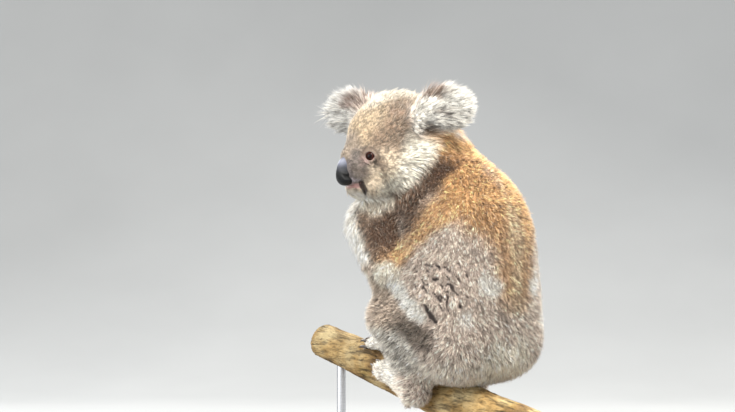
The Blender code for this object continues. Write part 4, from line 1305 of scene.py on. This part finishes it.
def claw_material():
    """Dark, finely mottled horn."""
    nodes = Nodes("claw", Specular_IOR_Level=0.5)
    mottle = nodes.noise(500.0, 4.0)
    nodes.colour(nodes.ramp(mottle, (0.3, linear(30, 25, 22)), (0.7, linear(78, 66, 56))))
    nodes.rough(mottle, 0.28, 0.45)
    nodes.bump(mottle, 0.0004, 0.5)
    return nodes.material


def bark_material():
    """Weathered branch: tan and grey-beige with greenish stains, and brown lengthwise wrinkles and pits
    deepened with painted shade where the bump lies low.
    """
    nodes = Nodes("bark", Specular_IOR_Level=0.25)
    streaks = nodes.noise(1.0, 6.0, nodes.place((170.0, 26.0, 170.0)), 0.65)
    flakes = nodes.noise(1.0, 5.0, nodes.place((320.0, 110.0, 320.0)), 0.6)
    blotches = nodes.noise(24.0, 4.0)
    stains = nodes.noise(11.0, 3.0)
    fine = nodes.noise(1.0, 5.0, nodes.place((900.0, 160.0, 900.0)), 0.6)
    brown, tan, beige = linear(118, 94, 64), linear(180, 154, 108), linear(214, 200, 164)
    base = nodes.ramp(blotches, (0.30, brown), (0.48, tan), (0.66, beige))
    stained = nodes.ramp(stains, (0.52, (0.0,) * 3), (0.66, (0.45,) * 3))
    base = nodes.mix(stained, base, (*linear(150, 146, 78), 1.0))
    # Painted shade over the bark's brown: wrinkles and pits are darkest where the bump below lies lowest.
    dark = nodes.ramp(streaks, (0.36, linear(48, 34, 24)), (0.54, linear(238, 230, 214)))
    pit_shade = nodes.ramp(flakes, (0.32, linear(66, 46, 34)), (0.44, linear(240, 236, 226)))
    colour = nodes.mix(0.80, base, dark, "MULTIPLY")
    colour = nodes.mix(0.75, colour, pit_shade, "MULTIPLY")
    # The kept colour is painted shade, darker where the branch's relief lies deeper.
    colour = nodes.mix(0.45, colour, nodes.kept(), "MULTIPLY")
    nodes.grained(colour, 0.30, fine, (0.3, 0.3), (0.7, 0.8))
    nodes.rough(streaks, 0.95, 0.72)
    height = nodes.math("ADD", streaks, nodes.math("MULTIPLY", flakes, 0.5))
    nodes.bump(nodes.math("ADD", height, nodes.math("MULTIPLY", fine, 0.3)), 0.0030, 1.0)
    return nodes.material


def base_material():
    """Dark stained, satin lacquered wood."""
    nodes = Nodes("stand_base", Coat_Weight=0.35, Coat_Roughness=0.22)
    grain = nodes.noise(1.0, 6.0, nodes.place((14.0, 160.0, 160.0)), 0.6)
    nodes.colour(nodes.ramp(grain, (0.32, linear(44, 30, 22)), (0.68, linear(92, 64, 44))))
    nodes.rough(grain, 0.32, 0.48)
    nodes.bump(grain, 0.0003, 0.35)
    return nodes.material


def rod_material():
    """Brushed steel."""
    nodes = Nodes("stand_rod", Metallic=1.0)
    brushed = nodes.noise(1.0, 4.0, nodes.place((60.0, 60.0, 2500.0)))
    nodes.colour(nodes.ramp(brushed, (0.3, (0.42, 0.43, 0.45)), (0.7, (0.60, 0.61, 0.63))))
    nodes.rough(brushed, 0.24, 0.38)
    nodes.bump(brushed, 0.0001, 0.3)
    return nodes.material


def wear(body, material, ride=True):
    """Gives a piece its material and, where ride holds, its body."""
    body.data.materials.clear()
    body.data.materials.append(material)
    if ride:
        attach(body, "root")


# ---------------------------------------------------------------- eyes, lids, nose, mouth, claws

EYE_ROWS, EYE_COLUMNS = 56, 72
EYE_POLE = 0.02
CORNEA_RISE = 0.0005
PUPIL_SIZE = (0.44, 0.48)
PUPIL_COLOUR = linear(15, 6, 6)
IRIS_COLOUR = linear(26, 11, 9)
IRIS_WARM = linear(54, 25, 20)
EYE_WHITE = linear(100, 74, 68)


def world_eye_axes(side):
    """Gaze, across and upright axes of one eye, in the world."""
    return (HEAD_AXES.T @ axis for axis in eye_axes(side))


def eye_colour(angle, turns):
    """Colours of one ring of the eyeball: pupil, iris with a warm band, and the white's brown edge."""
    warm = smooth_step(0.44, 0.62, angle) * smooth_step(0.84, 0.68, angle)
    colour = lerp(lerp(IRIS_COLOUR, IRIS_WARM, warm), EYE_WHITE, smooth_step(0.94, 1.06, angle))
    x, y = math.sin(angle) * np.cos(turns), math.sin(angle) * np.sin(turns)
    pupil = 1.0 - smooth_step(0.86, 1.14, np.hypot(x / PUPIL_SIZE[0], y / PUPIL_SIZE[1]))
    return lerp(colour[None], PUPIL_COLOUR[None], pupil[:, None])


def eyeball(side, node):
    """An eye turned to its gaze, with a slight cornea."""
    gaze, across, upright = world_eye_axes(side)
    turns = round_turn(EYE_COLUMNS)
    ring = np.cos(turns)[:, None] * across + np.sin(turns)[:, None] * upright
    grid, colours = np.zeros((2, EYE_ROWS, EYE_COLUMNS, 3))
    for row, angle in enumerate(np.linspace(EYE_POLE, math.pi - EYE_POLE, EYE_ROWS)):
        reach = EYE_RADIUS - CORNEA_RISE + CORNEA_RISE * (1.0 - smooth_step(0.30, 0.95, angle))
        grid[row] = EYES[side] + reach * (math.cos(angle) * gaze + math.sin(angle) * ring)
        colours[row] = eye_colour(angle, turns)
    body = solid_grid(node + "_ball", grid)
    set_colour(body, with_ends(colours))
    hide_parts(node)
    return body


LID_STEPS, LID_SIDES = 72, 10
LID_GROWTH = 0.0004
LID_OUT = 0.0003
LID_RADIUS = 0.00058
LOWER_LID_SWELL = 0.00010
LOWER_LID_COLOUR = linear(138, 108, 100)
UPPER_LID_COLOUR = linear(84, 60, 54)


def lid_ring(side, name):
    """The bare rim of both lids, one smooth ring that lies on the eyeball."""
    gaze, across, upright = world_eye_axes(side)
    path, radii, colours = [], [], []
    for step in range(LID_STEPS):
        turn = 2.0 * math.pi * step / LID_STEPS
        x = (EYE_OPENING[0] + LID_GROWTH) * math.cos(turn) * (1.0 + 0.07 * abs(math.cos(turn)) ** 3)
        y = (EYE_OPENING[1] + LID_GROWTH) * math.sin(turn) * (0.96 if math.sin(turn) > 0.0 else 1.04)
        reach = math.sqrt(max(0.0, (EYE_RADIUS + LID_OUT) ** 2 - x * x - y * y))
        path.append(EYES[side] + x * across + y * upright + reach * gaze)
        radii.append(LID_RADIUS + LOWER_LID_SWELL * max(0.0, -math.sin(turn)))
        colours.append(lerp(LOWER_LID_COLOUR, UPPER_LID_COLOUR, max(0.0, math.sin(turn)) ** 0.7))
    angles = round_turn(LID_SIDES)
    rings = []
    for index, place in enumerate(path):
        along = unit(path[(index + 1) % LID_STEPS] - path[index - 1])
        outward = unit(place - EYES[side])
        high = np.outer(np.cos(angles), outward) * 0.8
        wide = np.outer(np.sin(angles), np.cross(along, outward)) * 1.25
        rings.append(place + radii[index] * (high + wide))
    faces = np.array(grid_faces(LID_STEPS + 1, LID_SIDES)) % (LID_STEPS * LID_SIDES)
    body = fast_mesh(name, np.array(rings).reshape(-1, 3), faces)
    set_colour(body, np.repeat(np.array(colours), LID_SIDES, axis=0))
    return body


NOSE_ROWS, NOSE_COLUMNS = 80, 96
NOSE_POLE = 0.03
NOSE_BLACK = linear(6, 6, 7)
# Colour of the painted highlight on the nose's upper part.
NOSE_PAINTED_HIGHLIGHT = linear(106, 109, 122)


def nostril_depth(up, left, forward):
    """1 in the middle of the comma-shaped nostrils, at the lower sides of a nose of radius one."""
    depth = np.zeros(len(left))
    for side, _ in SIDES:
        share_up = up + 0.36 + 0.50 * (side * left - 0.66)
        offset = np.hypot((side * left - 0.74) / 0.22, share_up / 0.12)
        depth += np.exp(-offset ** 2 * 1.2) * (forward > -0.2)
    return depth


def nose_pad():
    """The nose: broad and rounded below, narrow above, with a painted highlight where it turns up to the
    light and painted shade in the nostrils.
    """
    turns = round_turn(NOSE_COLUMNS)
    grid, colours = np.zeros((2, NOSE_ROWS, NOSE_COLUMNS, 3))
    for row, angle in enumerate(np.linspace(NOSE_POLE, math.pi - NOSE_POLE, NOSE_ROWS)):
        up = math.cos(angle)
        round_out = math.sin(angle) ** 0.86
        wide = round_out * lerp(1.02, 0.42, float(smooth_step(-0.85, 0.25, up)))
        set_back = 0.14 * float(smooth_step(-0.10, 1.0, up))
        forward = np.cos(turns) * round_out
        left = np.sin(turns) * wide
        depth = nostril_depth(up, left, forward)
        groove = np.exp(-(left / 0.06) ** 2) * smooth_step(-0.45, -0.85, up) * (forward > 0.0)
        scale = 1.0 - 0.26 * depth - 0.05 * groove
        height = np.full(NOSE_COLUMNS, up) * (1.0 - 0.05 * depth)
        place = np.stack((forward * scale - set_back, left * scale, height), axis=1)
        grid[row] = NOSE + (place * NOSE_RADII) @ HEAD_AXES
        # Painted highlight: paler towards the top and brightest in a spot on the upper nose; the nostrils
        # are darkened as painted shade.
        painted_highlight = 0.40 * float(smooth_step(-0.20, 0.70, up)) + 0.60 * math.exp(-((up - 0.66) / 0.24) ** 2)
        colours[row] = lerp(NOSE_BLACK, NOSE_PAINTED_HIGHLIGHT, painted_highlight) * (1.0 - 0.75 * np.minimum(1.0, depth))[:, None]
    body = solid_grid("nose_pad", grid)
    set_colour(body, with_ends(colours))
    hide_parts("nose")
    return body


def on_skin(tree, points, height):
    """Points laid on the skin, then raised by height."""
    laid = []
    for point in points:
        place, normal, _, _ = tree.find_nearest(Vector(point))
        laid.append(np.array(place) + height * np.array(normal))
    return np.array(laid)


def smoothed_path(path, rounds):
    """A path with its inner points evened out."""
    for _ in range(rounds):
        path[1:-1] = 0.25 * path[:-2] + 0.5 * path[1:-1] + 0.25 * path[2:]
    return path


LIP_POINTS = 60
LIP_ENDS_LEFT_OFF = 4
LIP_EVENING = 6
# How far each lip lies over the mouth's line and over the skin, its radius and its colour.
LIPS = {
    "lower_lip": (-0.0026, -0.0012, 0.0019, linear(136, 100, 94)),
    "upper_lip": (0.0018, -0.0009, 0.0014, linear(118, 106, 110)),
}


def lips(tree):
    """The rolled lower lip and the thin edge of the upper one, on both sides."""
    left = metres(MOUTH_LINE)
    whole = np.vstack((left[::-1] * (1.0, -1.0, 1.0), left[1:]))
    line = curve_through(whole, LIP_POINTS)[LIP_ENDS_LEFT_OFF:-LIP_ENDS_LEFT_OFF]
    ends = np.sin(np.linspace(0.0, math.pi, len(line))) ** 0.60
    pieces = []
    for name, (rise, height, radius, colour) in LIPS.items():
        path = on_skin(tree, from_head(line + np.array((0.0, 0.0, rise))), height)
        body = tube(smoothed_path(path, LIP_EVENING), radius * (0.12 + 0.88 * ends), name)
        set_colour(body, np.tile(colour, (len(body.data.vertices), 1)))
        pieces.append(body)
    return pieces


# Digits: start (y, degrees) and end (y, degrees) on the left, then the radius. Angles go round the branch.
TOES = {
    "second": ((-0.086, 34.0), (-0.110, 35.0), 0.0070),
    "third": ((-0.092, 25.0), (-0.122, 29.0), 0.0072),
    "fourth": ((-0.096, 13.0), (-0.130, 15.0), 0.0085),
    "fifth": ((-0.093, 0.0), (-0.125, -1.0), 0.0078),
}
FINGERS = {
    "first": ((-0.122, 97.0), (-0.138, 111.0), 0.0066),
    "second": ((-0.134, 94.0), (-0.155, 100.0), 0.0066),
    "third": ((-0.142, 82.0), (-0.167, 83.0), 0.0070),
    "fourth": ((-0.143, 67.0), (-0.167, 65.0), 0.0070),
    "fifth": ((-0.140, 56.0), (-0.160, 49.0), 0.0066),
}
RIGHT_HAND_HOLD = (0.044, 10.0)
DIGIT_HEIGHT = 0.0065
CLAW_LENGTH = 0.0185
CLAW_RADIUS = 0.0026

PERCH_SLOPE = 0.288
PERCH_AXIS_AT_SEAT = -0.0204
PERCH_RADIUS_AT_SEAT = 0.0334
PERCH_TAPER = 0.027
PERCH_ENDS = (-0.275, 0.150)


def perch_axis(y):
    """Height of the branch's axis above the seat at this y."""
    return PERCH_AXIS_AT_SEAT - PERCH_SLOPE * y


def perch_radius(y):
    """Radius of the branch at this y."""
    return PERCH_RADIUS_AT_SEAT + PERCH_TAPER * y


def inside_perch(points):
    """True at world points inside the branch."""
    body = points - SEAT
    tilt = math.cos(math.atan(PERCH_SLOPE))
    offset = np.hypot(body[:, 0], (body[:, 2] - perch_axis(body[:, 1])) * tilt)
    return offset < perch_radius(body[:, 1])


def around_perch(y, degrees, height):
    """A world point this high above the bark; 0 degrees is the animal's left, 90 the top."""
    reach = perch_radius(y) + height
    angle = math.radians(degrees)
    return SEAT + np.array((reach * math.cos(angle), y, perch_axis(y) + reach * math.sin(angle)))


CLAW_STEPS, CLAW_SIDES = 14, 10
CLAW_ARCH = 0.0016
CLAW_TIP_HEIGHT = 0.0016
CLAW_TIP_RADIUS = 0.00025


def claw(name, digit, side, hold):
    """One horn claw: it leaves the digit's tip, arches and comes down to a point on the bark."""
    (y_root, turn_root), (y_tip, turn_tip), radius = digit
    back, turn = hold
    flip = np.array((side, 1.0, 1.0))

    def place(share, height):
        y = y_root + share * (y_tip - y_root) + back
        return around_perch(y, turn_root + share * (turn_tip - turn_root) + turn, height) * flip

    run = np.linalg.norm(place(1.0, 0.0) - place(0.0, 0.0))
    path, radii = [], []
    for step in range(CLAW_STEPS):
        share = step / (CLAW_STEPS - 1)
        ahead = 1.0 + (CLAW_LENGTH * share - 0.3 * radius) / run
        arch = CLAW_ARCH * math.sin(math.pi * share)
        height = DIGIT_HEIGHT + arch - (DIGIT_HEIGHT - CLAW_TIP_HEIGHT) * share ** 1.8
        path.append(place(ahead, height))
        radii.append(CLAW_RADIUS * (1.0 - share) ** 0.65 + CLAW_TIP_RADIUS)
    return tube(path, radii, name, CLAW_SIDES)


def claws():
    """Every claw of the four paws, with the node each belongs to."""
    pieces = []
    for side, label in SIDES:
        hand_hold = (0.0, 0.0) if side > 0 else RIGHT_HAND_HOLD
        for digits, kind, hold in ((FINGERS, "hand", hand_hold), (TOES, "foot", (0.0, 0.0))):
            for name, digit in digits.items():
                piece = claw("claw_%s_%s_%s" % (kind, label, name), digit, side, hold)
                pieces.append((piece, "%s_%s" % (kind, label)))
    return pieces


# ---------------------------------------------------------------- branch and stand

BARK_ROWS, BARK_COLUMNS = 230, 120
BARK_CLEARANCE = 0.0003
BARK_TINT = np.array((1.0, 0.96, 0.90))
PROBE_RADIUS = 0.034
ROUND_CELLS = 190.0
LONG_CELLS = 42.0
END_ROUNDING = 0.0016
CUT_END_RINGS = (0.86, 0.70, 0.54, 0.38, 0.22, 0.08)


def bark_relief(turns, y):
    """How deep the bark lies under its envelope round one ring: low knots, wrinkles and fine grain."""
    lumps = 0.5 + 0.5 * np.sin(3.0 * turns + 21.0 * y) * math.cos(37.0 * y - 1.0)
    round_x, round_z = (wave * PROBE_RADIUS * ROUND_CELLS for wave in (np.cos(turns), np.sin(turns)))
    probe = np.stack((round_x, np.full(len(turns), y * LONG_CELLS), round_z), axis=1)
    probe[:, 0] += 1.6 * np.sin(y * 60.0)
    wrinkle = lattice_noise(probe, 1.0, 81)
    fine = lattice_noise(probe * np.array((2.3, 2.0, 2.3)), 1.0, 82)
    return 0.0014 * lumps + 0.0016 * np.abs(2.0 * wrinkle - 1.0) ** 0.8 + 0.0006 * fine


def branch():
    """The perch with wrinkled bark, low knots and flat cut ends, with painted shade kept where the bark lies
    deepest.
    """
    tilt = math.atan(PERCH_SLOPE)
    rise = np.array((0.0, math.sin(tilt), math.cos(tilt)))
    across = np.array((1.0, 0.0, 0.0))
    turns = round_turn(BARK_COLUMNS)
    ring_shape = np.outer(np.cos(turns), across) + np.outer(np.sin(turns), rise)
    rings, recess_shade = [], []
    for row in range(BARK_ROWS):
        y = lerp(PERCH_ENDS[1], PERCH_ENDS[0], row / (BARK_ROWS - 1))
        from_end = min(row, BARK_ROWS - 1 - row)
        relief = bark_relief(turns, y) + END_ROUNDING * max(0.0, 1.0 - from_end / 2.0)
        reach = perch_radius(y) - BARK_CLEARANCE - relief
        rings.append(SEAT + np.array((0.0, y, perch_axis(y))) + reach[:, None] * ring_shape)
        # Painted shade: the bark's colour is darker where its relief lies deeper.
        recess_shade.append(np.clip(1.15 - 260.0 * relief, 0.35, 1.0))
    back = [lerp(rings[0].mean(axis=0), rings[0], share) for share in reversed(CUT_END_RINGS)]
    front = [lerp(rings[-1].mean(axis=0), rings[-1], share) for share in CUT_END_RINGS]
    body = solid_grid("branch", np.array(back + rings + front))
    cut = np.ones((len(CUT_END_RINGS), BARK_COLUMNS))
    tone = np.concatenate((cut, recess_shade, cut))
    set_colour(body, with_ends(tone[:, :, None] * BARK_TINT))
    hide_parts("perch")
    return body


# ---------------------------------------------------------------- stage, camera and lights

CAMERA_BACK = unit((1.0, 1.0, 0.0))
CAMERA_RIGHT = np.cross(UP, CAMERA_BACK)
CAMERA_DISTANCE = 4.0
SENSOR_WIDTH = 36.0
FRAME_WIDTH = 1.029
CAMERA_TARGET = (0.0905, -0.0505, 0.425)


def camera():
    """A level camera behind the animal's left side."""
    data = bpy.data.cameras.new("camera")
    data.sensor_width = SENSOR_WIDTH
    data.lens = SENSOR_WIDTH * CAMERA_DISTANCE / FRAME_WIDTH
    body = linked("camera", data)
    body.location = np.array(CAMERA_TARGET) + CAMERA_DISTANCE * CAMERA_BACK
    body.rotation_mode = "QUATERNION"
    body.rotation_quaternion = Vector(CAMERA_BACK).to_track_quat("Z", "Y")
    bpy.context.scene.camera = body


def area_light(name, place, size, power, colour):
    """A soft square light turned to the animal."""
    data = bpy.data.lights.new(name, "AREA")
    data.shape = "SQUARE"
    data.size = size
    data.energy = power
    data.color = colour
    body = linked(name, data)
    body.location = place
    body.rotation_mode = "QUATERNION"
    body.rotation_quaternion = (Vector(place) - Vector(CAMERA_TARGET)).to_track_quat("Z", "Y")


def from_camera(right, up, back):
    """A place to the camera's right, up from the target and back towards the camera."""
    return tuple(np.array(CAMERA_TARGET) + right * CAMERA_RIGHT + up * UP + back * CAMERA_BACK)


FLOOR_SPAN = 12.0
FLOOR_FRONT = 4.0
FLOOR_BEHIND = 2.2
COVE_RADIUS = 1.8
WALL_TOP = 7.0
COVE_STEPS = 24
AIR_COLOUR = (0.98, 0.99, 1.0, 1.0)
AIR_STRENGTH = 1.45
# Lights: place to the camera's right, up from the target and back towards the camera; size, power, colour.
LIGHTS = {
    "rim": ((1.3, 1.7, -1.6), 1.6, 120.0, (1.0, 0.98, 0.94)),
    "key": ((0.8, 2.0, 1.5), 1.1, 160.0, (1.0, 0.97, 0.92)),
    "fill": ((-2.2, 0.6, 1.6), 2.2, 60.0, (0.98, 0.99, 1.0)),
    "left_rim": ((-1.6, 1.2, -1.6), 1.4, 85.0, (1.0, 1.0, 1.0)),
}


def cove():
    """The floor and the wall behind, joined by a wide curve, as rows of points from front to top."""
    profile = [(FLOOR_SPAN, 0.0), (FLOOR_FRONT, 0.0), (0.0, 0.0), (-FLOOR_BEHIND, 0.0)]
    for step in range(1, COVE_STEPS + 1):
        turn = 0.5 * math.pi * step / COVE_STEPS
        profile.append((-FLOOR_BEHIND - COVE_RADIUS * math.sin(turn), COVE_RADIUS * (1.0 - math.cos(turn))))
    profile.append((-FLOOR_BEHIND - COVE_RADIUS, WALL_TOP))
    sides = (-FLOOR_SPAN, 0.0, FLOOR_SPAN)
    return np.array([
        [back * CAMERA_BACK + up * UP + right * CAMERA_RIGHT for right in sides] for back, up in profile
    ])


def stage():
    """Plain pale floor that curves up into a wall, even surroundings and soft lights."""
    rows = cove()
    floor = fast_mesh("floor", rows.reshape(-1, 3), grid_faces(len(rows), 3, closed=False))
    nodes = Nodes("floor", Roughness=0.9)
    nodes.colour(nodes.ramp(nodes.noise(3.0), (0.3, (0.25, 0.255, 0.255)), (0.7, (0.265, 0.27, 0.27))))
    floor.data.materials.append(nodes.material)
    world = bpy.data.worlds.new("world")
    bpy.context.scene.world = world
    world.use_nodes = True
    background = world.node_tree.nodes["Background"]
    background.inputs["Color"].default_value = AIR_COLOUR
    background.inputs["Strength"].default_value = AIR_STRENGTH
    for name, (place, size, power, colour) in LIGHTS.items():
        area_light(name, from_camera(*place), size, power, colour)
    bpy.context.scene.view_settings.view_transform = "Standard"


# ---------------------------------------------------------------- all together

def unwrap(body):
    """Unwraps the skin by its own shape, into a map named OFBake."""
    body.data.uv_layers.new(name="OFBake")
    bpy.context.view_layer.objects.active = body
    body.select_set(True)
    bpy.ops.object.mode_set(mode="EDIT")
    bpy.ops.mesh.select_all(action="SELECT")
    bpy.ops.uv.smart_project(angle_limit=math.radians(66.0), island_margin=0.002)
    bpy.ops.object.mode_set(mode="OBJECT")
    body.select_set(False)


def loop_uv(body):
    """The skin's UV at each corner of each triangle."""
    values = np.empty(2 * len(body.data.loops), dtype=np.float32)
    body.data.uv_layers["OFBake"].data.foreach_get("uv", values)
    return values.reshape(-1, 3, 2)


def skin_colour(vertices, normals, weights):
    """The skin's colours: the coat's, darker as painted shade under the coat away from the bare muzzle, and
    as painted shade in the flank's partings.
    """
    bare = smooth_step(0.045, 0.075, in_head(vertices)[:, 0]) * share_of(weights, "head")
    # Painted shade: the skin under the tufts is made darker than the coat.
    under = coat_colour(vertices, normals, weights) * lerp(0.42, 0.85, bare)[:, None]
    return tinted(under, 0.4 * PAINTED_CREASE_SHADE, np.minimum(1.0, 1.6 * crease_share(vertices - SEAT)))


def animal():
    """Skin, coat, eyes, lids, nose, lips and claws."""
    vertices, triangles, weights = skin_parts()
    skin = fast_mesh("skin", vertices, triangles)
    set_colour(skin, skin_colour(vertices, point_normals(vertices, triangles), weights))
    unwrap(skin)
    wear(skin, skin_material())
    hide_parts(*FLESH)
    hair = coat_material()
    for piece in fur(vertices, triangles, weights, loop_uv(skin)):
        wear(piece, hair)
    tree = BVHTree.FromPolygons(vertices.tolist(), triangles.tolist())
    eye, lid = eye_material(), lid_material()
    for side, label in SIDES:
        wear(eyeball(side, "eye_" + label), eye)
        wear(lid_ring(side, "lid_" + label), lid)
    wear(nose_pad(), nose_material())
    for piece in lips(tree):
        wear(piece, lid)
    horn = claw_material()
    for piece, slot in claws():
        wear(piece, horn)


def mount():
    """Branch, rods and base."""
    wear(branch(), bark_material())
    wear(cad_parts["stand_base"], base_material(), ride=False)
    steel = rod_material()
    for node in ("stand_rod_front", "stand_rod_back"):
        wear(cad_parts[node], steel, ride=False)


animal()
mount()
stage()
camera()

bpy.context.view_layer.update()
